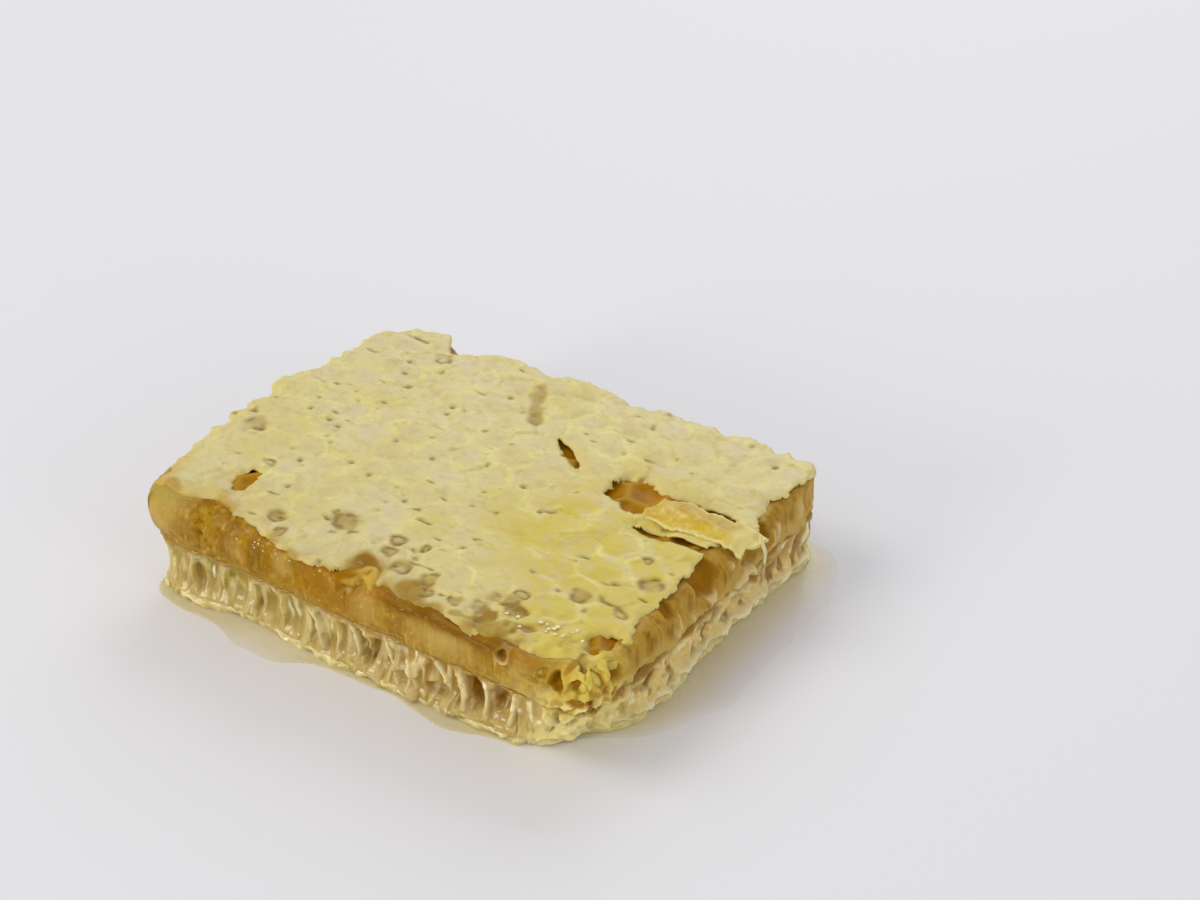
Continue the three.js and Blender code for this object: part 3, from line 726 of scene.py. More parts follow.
midrib_edge = edge_sheet("midrib_edge", MIDRIB_FOOT - 0.1, UPPER_FOOT + 0.1, proud=-1.0 - 0.1 * on_right,
                         ragged=0.35, seed=3, rows=6, fine=0.25)
base_edge = edge_sheet("lower_capping_edge", FLOOR, LOWER_FOOT + 0.1, proud=0.0,
                       ragged=0.4, seed=8, rows=9, fine=0.35)

# %% [markdown]
# ## The upper capping
# A skin of wax under a millimetre thick, laid over every cell by the bees. Each cell shows as a
# shallow dull patch in a ring of slightly prouder, yellower wax. The edge is torn, not cut, so the
# sheet is a fine grid whose faces outside a ragged line are deleted, with its border points moved
# onto that line. A grid keeps the points even for the relief, which a filled outline wouldn't.

# %% Where the capping ends
HOLES = [  # x, y, length, width, turn in degrees
    (-28.2, -21.4, 5.6, 2.3, 86), (24.9, -31.3, 1.9, 1.7, 0), (34.8, -22.2, 4.4, 2.6, 50),
    (6.0, 12.9, 7.8, 1.4, -37), (20.2, 9.4, 9.0, 8.0, 0), (28.6, 11.6, 14.0, 3.4, 0),
    (32.4, 3.4, 17.0, 1.5, 4), (39.6, 5.2, 5.0, 4.4, 0)]
GRID = 0.36  # spacing of the capping's points


def ragged_edges():
    """The capping's torn outline, and then the outlines of its holes."""
    x, y, nx, ny, _ = outline(3200)
    torn = sum(depth * near(x, y, px, py, reach) for px, py, reach, depth in TORN_BACK)
    out = (side_lean(nx, TOP) + 0.77 * near(x, y, *LOBE[:3]) + 0.2 - torn
           + 0.5 * waves(x, y, 6.5, 1) + 0.35 * waves(x, y, 2.7, 9)
           + 0.3 * noise(x, y, 0, 1.3, 71) + 0.16 * noise(x, y, 0, 0.7, 73))
    loops = [np.stack([x + nx * out, y + ny * out], -1)]
    for number, (hx, hy, length, width, turn) in enumerate(HOLES):
        around = np.linspace(0, 2 * math.pi, 300, endpoint=False)
        swell = 1 + 0.25 * noise(3 * np.cos(around), 3 * np.sin(around), number * 9, 1.3, 72)
        swell = swell + 0.12 * noise(3 * np.cos(around), 3 * np.sin(around), number * 9, 0.4, 74)
        u, v = length / 2 * np.cos(around) * swell, width / 2 * np.sin(around) * swell
        turn = math.radians(turn)
        loops.append(np.stack([hx + u * math.cos(turn) - v * math.sin(turn),
                               hy + u * math.sin(turn) + v * math.cos(turn)], -1))
    return loops


# %% Inside or outside a line
def encloses(loop, x, y):
    """Whether each place lies inside a closed line."""
    odd = np.zeros(x.shape, bool)
    for (ax, ay), (bx, by) in zip(loop, np.roll(loop, -1, 0)):
        if ay != by:
            odd ^= ((ay > y) != (by > y)) & (x < ax + (y - ay) * (bx - ax) / (by - ay))
    return odd


def inside_of(loops, x, y):
    """How far each place lies inside the first closed line and outside the others, and the nearest point."""
    inside, closest = np.full(x.shape, np.inf), np.stack([x, y], -1)
    for number, loop in enumerate(loops):
        tree = kdtree.KDTree(len(loop))
        for i, (px, py) in enumerate(loop):
            tree.insert((px, py, 0), i)
        tree.balance()
        nearest = loop[[tree.find((px, py, 0))[1] for px, py in zip(x, y)]]
        depth = np.hypot(x - nearest[:, 0], y - nearest[:, 1])
        depth = np.where(encloses(loop, x, y) == (number == 0), depth, -depth)
        closest = np.where((depth < inside)[:, None], nearest, closest)
        inside = np.minimum(inside, depth)
    return inside, closest


# %% Sheets cut to a line
def trimmed_grid(name, half_x, half_y, spacing, loops, margin=0.0):
    """A grid over the plan, cut to ragged lines. Returns the piece, its x, y and depth inside the lines."""
    columns, rows = int(2 * half_x / spacing), int(2 * half_y / spacing)
    piece = start_piece(name, bpy.ops.mesh.primitive_grid_add,
                        x_subdivisions=columns, y_subdivisions=rows, size=1)
    x, y = [v.ravel() for v in np.meshgrid(np.linspace(-half_x, half_x, columns + 1),
                                           np.linspace(-half_y, half_y, rows + 1))]
    inside, nearest = inside_of(loops, x, y)
    if not margin:  # points close to the line move onto it
        snap = np.abs(inside) < 0.55 * spacing
        x, y = np.where(snap, nearest[:, 0], x), np.where(snap, nearest[:, 1], y)
        inside = np.where(snap, 0, inside)
    set_points(piece, np.stack([x, y, 0 * x], -1))
    corners = np.zeros(len(piece.data.polygons) * 4, np.int64)
    piece.data.polygons.foreach_get("vertices", corners)
    bpy.ops.object.mode_set(mode="EDIT")
    bpy.ops.mesh.select_mode(type="FACE")
    bpy.ops.mesh.select_all(action="DESELECT")
    bpy.ops.object.mode_set(mode="OBJECT")
    piece.data.polygons.foreach_set("select", (inside[corners.reshape(-1, 4)] < margin - 1e-6).any(1))
    bpy.ops.object.mode_set(mode="EDIT")
    bpy.ops.mesh.delete(type="FACE")
    bpy.ops.object.mode_set(mode="OBJECT")
    clean(piece)
    points_left = points_of(piece)
    x, y = points_left[:, 0], points_left[:, 1]
    return piece, x, y, inside_of(loops, x, y)[0]


def thicken(piece, thickness):
    """Gives a sheet its thickness, downwards."""
    skin = piece.modifiers.new("skin", "SOLIDIFY")
    skin.thickness, skin.offset = thickness * MM, -1
    select_only(piece)
    bpy.ops.object.modifier_apply(modifier=skin.name)
    clean(piece, merge=False)
    print(f"{piece.name}: {len(piece.data.polygons)} faces")


# %% [markdown]
# ## Relief of the capping
# Over the cells lie pinholes, brown stains like small rings, honey soaked creases and, near the front
# edge, crusted patches. They are places on the plan, so one function gives both the height and a mask
# for each kind. The materials then colour just what stands up or sinks in.

# %% Places on the capping
PITS = [  # pinholes: x, y
    (-14.2, -10), (-18.4, -8.6), (-24.8, -12.8), (-22.2, -19), (-6.5, -11.8), (6, -6.4), (-28.3, 0.5),
    (-27.8, -1.6), (-25.8, -2.2), (-31.8, -1), (-9.2, -1), (5.7, 1), (-15, 12.5), (-14.6, 10.5),
    (-28, 19.5), (-26.5, 16), (-9.3, 20)]
STAINS = [  # x, y, reach
    (-18.5, -26, 1.7), (-9.8, -21, 2.3), (-7.8, -23, 0.7), (-10, -24.2, 0.7), (-12.4, -20.6, 0.6),
    (-1.2, -20.5, 1.5), (-1, -23.4, 1.2), (3, -20, 0.8), (3, -22.6, 0.6), (3, -25.3, 1.8),
    (7.5, -25.3, 1.4), (8.6, -28, 1.3), (16.7, -26.5, 1.6), (20.2, -20.8, 1.3), (20, -23.3, 1.2),
    (22.4, -24.5, 1.2), (17.6, -23.8, 1), (27, -16.5, 1.8), (33.5, -16.5, 1.2), (33.8, -8.5, 1.9),
    (-36, -9, 1.9), (30, -3.5, 0.9), (-28.1, -16, 1.1), (-36.4, -28.5, 1.5), (-16, -29, 1),
    (19.6, -29.2, 1.7), (22.8, -28.2, 1.3), (-24, 22.8, 1.7), (13.2, -27.4, 1.2)]
GROOVES = [((-7.2, 25), (-3, 17), 1.3), ((14.5, -30), (19, -29.4), 0.8)]  # creases: two ends, width
SOAKED = [  # soaked with honey: x, y, reach
    (7.2, -29.6, 3.0), (-1.4, -28, 3.2), (21.5, -30.0, 2.8), (35.6, -23.6, 2.4), (30.5, -29.6, 2.4),
    (-36.6, -29.0, 2.2), (11.6, -30.6, 1.6)]
CRUSTS = [  # crusted zones: x, y, reach, strength
    (7.6, -28.6, 4.2, 0.55), (21.5, -27.0, 5.8, 1.0), (35, -27.5, 5.5, 0.9), (-1.5, -28, 3.6, 0.6)]
OPEN_CELL = (-1.9, -27.2, 2.3, 1.6)  # the amber cell behind the front notch: x, y, half length, half width


# %% Height and masks of the capping
def capping_relief(x, y):
    """The height of the capping over its mean top, and its masks, at places on the plan."""
    rough = lambda size, seed: noise(x, y, 0, size, seed)
    wx, wy = x + 1.1 * rough(5, 81), y + 1.1 * rough(5, 82)
    column, row, cx, cy, wall = cell_at(wx, wy, UPPER_SHIFT)
    strength = ramp(rough(3.0, 83), -0.35, 0.6) * (0.45 + 0.55 * chance_of(column, row, 84))
    ridge = np.exp(-((wall - 0.25 - 0.35 * rough(4, 183)) / 0.42) ** 2) * strength
    middle = ramp(wall, 0.5, 2.0)
    way = 2 * math.pi * chance_of(column, row, 90)
    tilt = 0.12 * (chance_of(column, row, 94) - 0.1) * ((wx - cx) * np.cos(way) + (wy - cy) * np.sin(way))
    rise = -0.15 + 0.7 * chance_of(column, row, 6)
    height = (0.4 * rise * middle + tilt - 0.12 + 0.16 * ridge + 0.2 * waves(x, y, 11, 5)
              + 0.12 * rough(2.2, 85) + 0.07 * rough(0.9, 86))
    speck = ramp(noise(x * 0.6, y * 1.2, 0, 1.1, 87), 0.66, 0.9) * ramp(wall, 1.0, 0.2)
    pit = np.clip(sum(near(x, y, px, py, 0.38) for px, py in PITS) + 0.8 * speck, 0, 1)
    spot, rim, groove = np.zeros_like(x), np.zeros_like(x), np.zeros_like(x)
    for px, py, reach in STAINS:
        distance = np.hypot(x - px + 0.5 * rough(1.4, 88), y - py + 0.5 * rough(1.4, 95)) / reach
        spot = np.maximum(spot, ramp(distance, 1.15, 0.7))
        rim = np.maximum(rim, np.exp(-((distance - 0.72) / 0.22) ** 2) * ramp(rough(1.1, 96), -0.5, 0.4))
    for start, end, wide in GROOVES:
        start, along = np.array(start), np.array(end) - np.array(start)
        t = np.clip(((x - start[0]) * along[0] + (y - start[1]) * along[1]) / (along @ along), 0, 1)
        off = np.hypot(x - start[0] - t * along[0], y - start[1] - t * along[1]) + 0.6 * rough(1.5, 97)
        spot = np.maximum(spot, ramp(off, wide, 0.3 * wide))
        groove = np.maximum(groove, ramp(off, 1.2 * wide, 0.5 * wide))
    zone = most(*(strong * near(x, y, px, py, reach) for px, py, reach, strong in CRUSTS))
    patchy = rough(1.5, 174) + 0.5 * rough(0.7, 175)
    wet = sum(ramp(np.hypot(x - px, y - py) / reach + 0.3 * rough(1.6, 98), 1.1, 0.6)
              for px, py, reach in SOAKED)
    soaked = 0.6 * groove + wet
    height = height - 0.4 * pit - 0.14 * spot - 0.1 * rim - 0.15 * soaked + 0.16 * soaked * rough(1.1, 99)
    height = height + ramp(zone, 0.2, 0.7) * (0.22 * rough(1.0, 176) - 0.3 * ramp(patchy, -0.05, 0.5))
    cell_x, cell_y, half_long, half_wide = OPEN_CELL
    core = np.hypot((x - cell_x) / half_long, (y - cell_y) / half_wide) + 0.3 * rough(1.0, 181)
    return height, {
        "ridge": ridge, "middle": middle * np.clip(0.7 + 0.6 * rough(7, 89), 0, 1), "pit": pit,
        "stain": spot * (0.6 + 0.4 * rough(1.3, 96)), "rim": rim, "soaked": soaked,
        "crusted": ramp(zone, 0.2, 0.7) * ramp(patchy, -0.15, 0.4), "core": ramp(core, 1.1, 0.6)}


# %% The capping sheet and how it hangs at its edges
capping, gx, gy, inside = trimmed_grid("wax_capping", 43.0, 35.0, GRID, ragged_edges())
relief, masks = capping_relief(gx, gy)
plan_noise = lambda size, seed: noise(gx, gy, 0, size, seed)
inside_edge = np.maximum(inside, 0)
edge, near_edge = np.exp(-inside_edge / 0.45), np.exp(-inside_edge / 1.6)
drape = near(gx, gy, -40.5, -31, 8.5)
corner_wax = near(gx, gy, 38, -31, 9)
front_edge = ramp(gy, -18, -26)
turn_down = np.clip(1 - inside / 4.5, 0, 1)
lowered = (2.8 * drape + 2.4 * corner_wax) * (1 - np.sqrt(np.maximum(1 - turn_down ** 2, 0)))
lowered = lowered - corner_wax * (0.5 * plan_noise(2.6, 101) + 0.32 * plan_noise(1.2, 102))
sagging = 0.75 * ramp(plan_noise(4.5, 97), 0.0, 0.7) - 0.35 * ramp(plan_noise(2.2, 98), 0.3, 0.8)
droop = near_edge * (1 - drape) * sagging
droop = droop + near_edge * (1.0 * near(gx, gy, 6.6, -32, 3.4) + 0.8 * near(gx, gy, 21, -31.5, 3.2))
sunk = 0.35 * front_edge * (1 - drape) + 0.5 * near(gx, gy, -1, -28, 5)
droop = droop + np.exp(-inside_edge / 2.2) * sunk
level = TOP + relief - 0.35 * edge - lowered - droop
set_points(capping, np.stack([gx, gy, wedge(gx, level)], -1))

# %% The capping's masks
dull_front = 1 - 0.7 * front_edge * ramp(plan_noise(3.4, 104), -0.4, 0.3)
waxy = 1.3 * near(gx, gy, 36, -29, 9.5) + 0.5 * near(gx, gy, -2, -29.4, 2.4)
yellow = 1.2 * near(gx, gy, 26, -4, 19) + 0.7 * near(gx, gy, 30, -24, 9)
masks |= {
    "edge": edge * (1 - drape) * (1 - corner_wax) * dull_front,
    "honeyed": near_edge * front_edge * (0.35 + 0.9 * ramp(plan_noise(2.0, 105), -0.5, 0.5)),
    "golden": drape * ramp(turn_down, 0.05, 0.9),
    "waxy": waxy * ramp(plan_noise(2.4, 103), -0.7, 0.5),
    "yellow": yellow + 0.35 * ramp(plan_noise(8, 99), 0.1, 0.8),
}
for mask, values in masks.items():
    paint(capping, mask, values)
thicken(capping, 0.45)

# %% [markdown]
# ## Honey under the capping
# Through the holes and tears you look down on the tops of the cells: amber honey a little below
# thin pale walls. One bumpy sheet just under the capping shows them all, so that no hole needs its
# own floor.

# %% Honey under the capping
POOL_GRID, POOL_MARGIN = 0.5, 0.9  # spacing of its points, and how far it stays inside the top of the side
RAISED = [(-28.2, -21.4, 3.4, 0.45), (-1.7, -27.4, 2.4, 0.5)]  # under small holes: x, y, reach, how far
border = np.stack([ox - nx * slope_in, oy - ny * slope_in], -1)
pools, px, py, within = trimmed_grid("honey_under_capping", 41, 34, POOL_GRID, [border], margin=POOL_MARGIN)
*_, wall = cell_at(px + 0.4 * noise(px, py, 0, 4, 91), py + 0.4 * noise(px, py, 0, 4, 92), UPPER_SHIFT)
wall_top = np.exp(-(wall / 0.4) ** 2)
sag = 0.45 + 0.3 * noise(px, py, 0, 5, 93)
pool_height = HONEY_TOP - 0.1 + 0.15 * wall_top - sag * ramp(wall, 0.2, 1.8)
pool_height = pool_height - 0.8 * np.exp(-np.maximum(within - 1.1, 0) / 0.45)
for hole_x, hole_y, reach, raised in RAISED:
    pool_height = pool_height + raised * near(px, py, hole_x, hole_y, reach)
set_points(pools, np.stack([px, py, wedge(px, pool_height)], -1))
paint(pools, "wall", wall_top)
thicken(pools, 0.7)

# %% [markdown]
# ## The torn strip
# Between two tears at the right end a strip of capping has come loose. It is lifted a little, its
# front edge is frayed, and its tip stands past the side with a drawn-out thread hanging from it. It
# is a grid that runs along the strip, so that the fray and the folds can follow its length.

# %% Torn strip
STRIP_FROM, STRIP_TO = np.array([23.8, 7.8]), np.array([40.2, 9.2])
STRIP_WIDTH, STRIP_THICK, STRIP_LIFT = 6.6, 0.5, 1.0


def torn_strip():
    """The loose strip. s runs along it from its root, t across it."""
    columns, rows = 84, 26
    strip = start_piece("torn_strip", bpy.ops.mesh.primitive_grid_add,
                        x_subdivisions=columns, y_subdivisions=rows, size=1)
    s, t = np.meshgrid(np.linspace(0, 1, columns + 1), np.linspace(-1, 1, rows + 1))
    length = np.hypot(*(STRIP_TO - STRIP_FROM))
    along = (STRIP_TO - STRIP_FROM) / length
    narrow = 0.86 + 0.14 * ramp(s, 0, 0.3) - 0.18 * ramp(s, 0.7, 1)
    fray = 0.10 * noise(s * 20, t * 0.1 + 5, 0, 1.5, 110) + 0.06 * noise(s * 20, t * 0.1 + 5, 0, 0.6, 111)
    half = STRIP_WIDTH / 2 * narrow * (1 + 0.08 * np.sin(7 * s) + fray)
    tip = (0.5 * ramp(s, 0.8, 1) + 0.8 * ramp(s, 0.2, 0)) * noise(3, t * 4, 0, 1.4, 112)
    tip = tip + 0.7 * t * ramp(s, 0.8, 1)
    x = STRIP_FROM[0] + (s * length + tip) * along[0] - t * half * along[1]
    y = STRIP_FROM[1] + (s * length + tip) * along[1] + t * half * along[0]
    rise = STRIP_LIFT * (0.75 + 0.25 * np.sin(4 * s))
    fold = 0.16 * np.sin(5 * t + 3 * s) * ramp(s, 0.1, 0.5)
    fold = fold + 0.2 * noise(x, y, 0, 2.2, 113) + 0.12 * noise(x, y, 0, 0.8, 114)
    sag = 0.9 * ramp(s, 0.86, 1.0) + 0.35 * np.abs(t) ** 3
    set_points(strip, np.stack([x, y, wedge(x, TOP - 0.35 + rise + fold - sag)], -1))
    paint(strip, "edge", ramp(np.abs(t), 0.8, 1).ravel())
    paint(strip, "amber", (ramp(noise(x, y, 0, 3.5, 115), -0.2, 0.5) * ramp(t, -0.5, 0.4)).ravel())
    paint(strip, "pale", ramp(s, 0.7, 0.95).ravel())
    clean(strip)
    thicken(strip, STRIP_THICK)
    return strip


strip = torn_strip()

# %% [markdown]
# ## A strand and beads
# A drawn-out thread of wax hangs from the tip of the strip. Small beads of honey stand on the cut and
# on the front right corner, where they catch the light; their near-white colour is a painted glint. The
# thread is a ribbon swept between two points, and each bead is a small sphere made uneven, so no two are
# alike.

# %% Small shapes
def ribbon(start, end, width, thick, bow, seed, flat_way=(0, 0, 1)):
    """A thin closed shred of wax between two places, a little bent and uneven."""
    start, end, bow, flat_way = (np.array(v, float) for v in (start, end, bow, flat_way))
    t = np.linspace(0, 1, 9)
    middle = start + (end - start) * t[:, None] + bow * np.sin(np.pi * t)[:, None]
    middle = middle + 0.14 * np.stack([noise(t * 5, seed * 3.1, k, 1.3, seed) for k in (0, 7, 14)], -1)
    along = np.gradient(middle, axis=0)
    along /= np.linalg.norm(along, axis=1)[:, None]
    wide_way = np.cross(along, np.cross(flat_way, along))
    wide_way /= np.linalg.norm(wide_way, axis=1)[:, None] + 1e-9
    thin_way = np.cross(along, wide_way)
    around = np.linspace(0, 2 * math.pi, 8, endpoint=False)
    swell = (0.55 + 0.45 * np.sin(np.pi * t)) * (1 + 0.35 * noise(t * 6, seed * 1.7, 3, 1.1, seed + 5))
    wide_way = wide_way * (width / 2 * swell)[:, None]
    rings = (middle[:, None] + wide_way[:, None] * np.cos(around)[None, :, None]
             + thin_way[:, None] * (thick / 2) * np.sin(around)[None, :, None])
    return ring_piece("hanging_strand", rings, {})


def lump(place, size, seed, squash=(1, 1, 1)):
    """A small uneven blob of honey."""
    piece = start_piece(f"lump_{seed}", bpy.ops.mesh.primitive_ico_sphere_add, subdivisions=3, radius=1)
    ball = points_of(piece) * MM
    swell = 1 + 0.28 * noise(*(ball * 1.6 + seed).T, 1.0, seed)
    swell = swell + 0.1 * noise(*(ball * 3.4 + seed).T, 1.0, seed + 1)
    set_points(piece, np.array(place) + ball * swell[:, None] * size * np.array(squash))
    clean(piece, merge=False)
    return piece


def on_side(at, height, out):
    """A place on the side of the block, counted in millimetres along the ring."""
    i = int(at / step) % RING_COUNT
    lean = float(side_lean(nx[i], height))
    return moved_out(ox[i], oy[i], nx[i], ny[i], lean + out, height)


# %% The strand
STRAND_FROM = (40.5, 10.4, wedge(40.6, TOP + 0.4))
STRAND_TO = (40.9, 11.6, 10.8)
strand = ribbon(STRAND_FROM, STRAND_TO, width=1.0, thick=0.3, bow=(0.5, 0, 0), seed=360, flat_way=(0, 1, 0))


# %% Joining
def join(name, pieces):
    """Joins several pieces into the first one."""
    bpy.ops.object.select_all(action="DESELECT")
    for piece in pieces:
        piece.select_set(True)
    bpy.context.view_layer.objects.active = pieces[0]
    bpy.ops.object.join()
    joined = bpy.context.object
    joined.name = joined.data.name = name
    return joined


# %% Beads of honey
FRONT_MIDDLE = 32.5              # millimetres along the ring from its first point to x = 0 on the front
SIDE_BEADS, TOP_BEADS = 11, 14
BEADS_AT = (27, -25.4)           # the middle of the beads on the capping
random = np.random.default_rng(12)
beads = []
for number in range(SIDE_BEADS):
    at = FRONT_MIDDLE + random.normal(-4.5, 2.6)
    place = on_side(at, random.uniform(14.6, 15.8), -0.05)
    beads.append(lump(place, random.uniform(0.08, 0.17), 520 + number, (1, 0.7, 0.8)))
for number in range(TOP_BEADS):
    place = (BEADS_AT[0] + random.normal(0, 3.2), BEADS_AT[1] + random.normal(0, 1.2))
    place = (*place, wedge(place[0], TOP - 0.1))
    beads.append(lump(place, random.uniform(0.16, 0.3), 540 + number, (1.3, 1, 0.6)))
honey_beads = join("honey_beads", beads)
print(f"{len(beads)} beads: {len(honey_beads.data.polygons)} faces")

# %% [markdown]
# ## Honey on the floor
# A thin film has run out round the foot. It is only a third of a millimetre thick, so it is almost
# clear, with a pale yellow edge where its surface curls down. It is a ring too, whose rows step up
# from the edge to the middle, and a mask says how deep it looks.

# %% The seep
SEEPS = [  # where it ran out: x, y, reach, how far
    (-31, -33, 7, 1.6), (-19, -33, 6, 5.0), (-12, -33, 3.5, 3.0), (16, -33, 5, 2.0), (41, -20, 5, 2.5),
    (41, -8, 8, 7.0), (41, 6, 10, 8.0), (41, 22, 9, 7.0), (-41, -10, 12, 1.0), (0, 33, 24, 1.0),
    (-36, 28, 8, 1.5)]
PROFILE = [  # how far in from its edge, and how high
    (0.0, 0.03), (0.0, 0.08), (0.2, 0.14), (0.6, 0.18), (1.5, 0.22), (3.0, 0.26), (5.0, 0.32),
    (7.0, 0.38), (10.0, 0.4)]
spread_out = 0.7 + sum(width * near(ox, oy, sx, sy, reach) for sx, sy, reach, width in SEEPS)
spread_out = spread_out + 0.6 * noise(ox, oy, 0, 5, 120) + 0.3 * noise(ox, oy, 0, 2.2, 121)
spread_out = np.minimum(np.maximum(spread_out, 0.4), 11)
thins_out = ramp(ox, 28, 36)  # towards the right the film thins out and shows no edge
rings, thickness = [], []
for inward, rise in PROFILE:
    ring = moved_out(ox, oy, nx, ny, side_lean(nx, 0.0) + spread_out - inward, 0 * ox)
    ring[:, 2] = rise
    rings.append(ring)
    deep = ramp(spread_out - inward - 0.2, 7.0, 0.0) * 0.8 + 0.1
    thickness.append(deep * (1 - 0.75 * thins_out * (1 - ramp(inward + 0 * ox, 0.0, 3.0))))
seep = ring_piece("honey_seep", np.stack(rings), {"deep": np.stack(thickness)})

# %% [markdown]
# ## Materials
# Wax is a cloudy solid: light goes in a little way and comes out softened. Honey is a clear amber
# one, wet and shiny. Both are shaded with light that scatters under the surface, and a coat for the
# film of honey that lies over everything. The colour is built in layers, as on real comb: plain wax,
# then soft blotches, then the tints that the painted masks place. An image could do that too, but
# it would need unwrapping, and a mask follows the relief by itself.

# %% Layers of colour
UPRIGHT = (1.0, 1.0, 0.22)  # draws blotches out upright, as honey runs down a wall


def add(tree, kind, inputs=None, **settings):
    """Adds a node, sets its options, and links or fills its inputs."""
    node = tree.nodes.new(kind)
    for key, value in settings.items():
        setattr(node, key, value)
    for key, value in (inputs or {}).items():
        if isinstance(value, bpy.types.NodeSocket):
            tree.links.new(value, node.inputs[key])
        else:
            node.inputs[key].default_value = value
    return node


def blotches(tree, size, low, high, seed=0.0, squeeze=None):
    """Soft blotches of a size in millimetres, from 0 to 1."""
    place = add(tree, "ShaderNodeTexCoord").outputs["Object"]
    if squeeze:
        squeezed = add(tree, "ShaderNodeVectorMath", {0: place, 1: squeeze}, operation="MULTIPLY")
        place = squeezed.outputs["Vector"]
    cloud = add(tree, "ShaderNodeTexNoise", noise_dimensions="4D", inputs={
        "Vector": place, "Scale": 1 / (size * MM), "Detail": 3.0, "W": seed})
    spread = {"Value": cloud.outputs["Fac"], "From Min": low, "From Max": high}
    return add(tree, "ShaderNodeMapRange", spread).outputs["Result"]


def layered(base, *layers):
    """A function that builds a colour in a node tree. Each layer is a tint and where it shows: the
    name of a painted mask, or the size and strength of blotches."""
    def shade(tree):
        tone = colour(base)
        for tint, *where in layers:
            if isinstance(where[0], str):
                share = add(tree, "ShaderNodeAttribute", attribute_name=where[0]).outputs["Fac"]
            else:
                share = blotches(tree, *where)
            mix = add(tree, "ShaderNodeMix", {"Factor": share, 6: tone, 7: colour(tint)}, data_type="RGBA")
            tone = mix.outputs[2]
        return tone
    return shade


# %% Fine relief and the wet surface
WAX_IOR, HONEY_IOR = 1.46, 1.49  # how strongly each bends light
COAT_ROUGHNESS = 0.12


def bumpy(tree, sizes):
    """A bump from fine noise. sizes are pairs of lump size and height in millimetres."""
    place = add(tree, "ShaderNodeTexCoord").outputs["Object"]
    normal = None
    for size, depth in sizes:
        cloud = add(tree, "ShaderNodeTexNoise", {"Vector": place, "Scale": 1 / (size * MM), "Detail": 2.0})
        inputs = {"Height": cloud.outputs["Fac"], "Distance": depth * MM, "Strength": 1.0}
        if normal:
            inputs["Normal"] = normal
        normal = add(tree, "ShaderNodeBump", inputs).outputs["Normal"]
    return normal


def wax_or_honey(name, shade, scatter, radius, roughness, coat, bumps, shine=0.5):
    """A scattering, wet material. radius is how far red, green and blue light go in, in millimetres."""
    material, tree, surface = new_material(
        name, Subsurface_Weight=scatter, Subsurface_Radius=radius, Subsurface_Scale=1.0 * MM,
        Roughness=roughness, IOR=WAX_IOR, Specular_IOR_Level=shine,
        Coat_Weight=coat, Coat_Roughness=COAT_ROUGHNESS, Coat_IOR=HONEY_IOR)
    tree.links.new(shade(tree), surface.inputs["Base Color"])
    tree.links.new(bumpy(tree, bumps), surface.inputs["Normal"])
    print(f"{name}: {len(tree.nodes)} nodes")
    return material


# %% Colours of the capping
capping_shade = layered(
    "DACD92",
    ("D3C59C", "middle"), ("D7CB84", 9, 0.45, 0.75), ("D0BC4E", "yellow"), ("E4D88A", "ridge"),
    ("CFBA84", 2.2, 0.5, 0.75, 7.0), ("C6B676", 1.2, 0.52, 0.8, 3.0), ("DCCB80", "edge"),
    ("B2923A", "honeyed"), ("A88A32", "soaked"), ("9A7410", "crusted"), ("AA9042", "stain"),
    ("8A6E30", "rim"), ("7E6626", "pit"), ("DAC458", "waxy"), ("986A04", "core"), ("C6A23A", "golden"))
strip_shade = layered(
    "D2B02C",
    ("BC9420", 2.5, 0.4, 0.75), ("DECA66", 1.2, 0.5, 0.75, 4.0),
    ("C2A030", "amber"), ("DED084", "pale"), ("E4D48A", "edge"))

# %% Colours of the lower tier
lower_shade = layered(
    "D2BC6C",
    ("AE9240", 1.0, 0.42, 0.62, 0.0, UPRIGHT), ("A08834", "hollow"),
    ("DECB80", 0.8, 0.52, 0.72, 3.0, UPRIGHT), ("B08C34", "golden"), ("EACF84", "rough"),
    ("C09A4C", "behind"), ("9C7426", "strands"), ("B08C38", "pockets"), ("9A6A04", "amber"),
    ("E6D8A0", "wall"), ("FAF2CC", "glint"), ("B89C48", 1.3, 0.54, 0.74, 5.0), ("B09650", "shade"),
    ("F2E8B4", "skirt"), ("ECDD90", "crushed"), ("DCC450", "yellow"), ("9E781C", "top"))

# %% Colours of the upper tier and its honey
upper_shade = layered(
    "A47C0A",
    ("926404", 3.0, 0.46, 0.62), ("C8A644", 2.0, 0.54, 0.76, 5.0), ("AA862E", "low"),
    ("9C7010", 1.4, 0.52, 0.66, 11.0), ("865A02", 1.0, 0.54, 0.72, 21.0),
    ("C8A44C", 0.8, 0.58, 0.78, 23.0), ("B68E32", "right"),
    ("866008", 1.4, 0.50, 0.72, 9.0, UPRIGHT), ("C8A250", 1.0, 0.56, 0.76, 13.0, UPRIGHT),
    ("C4A252", "foot"), ("BEA052", "haze"), ("DEC68C", "blob"), ("DEC85A", "waxy"),
    ("EADC90", "pale"), ("B4902E", "flecks"), ("9E6C00", "dark"), ("A87A1C", "pockets"),
    ("7E5600", "under"), ("CCAA46", "bits"), ("E0C878", "painted_glints"), ("AE9846", "skin"))
pool_shade = layered("B07A08", ("8A5A00", 3, 0.4, 0.8), ("B28824", "wall"))


def two_tone(main, other, size):
    """One colour with blotches of another."""
    return layered(main, (other, size, 0.4, 0.75))


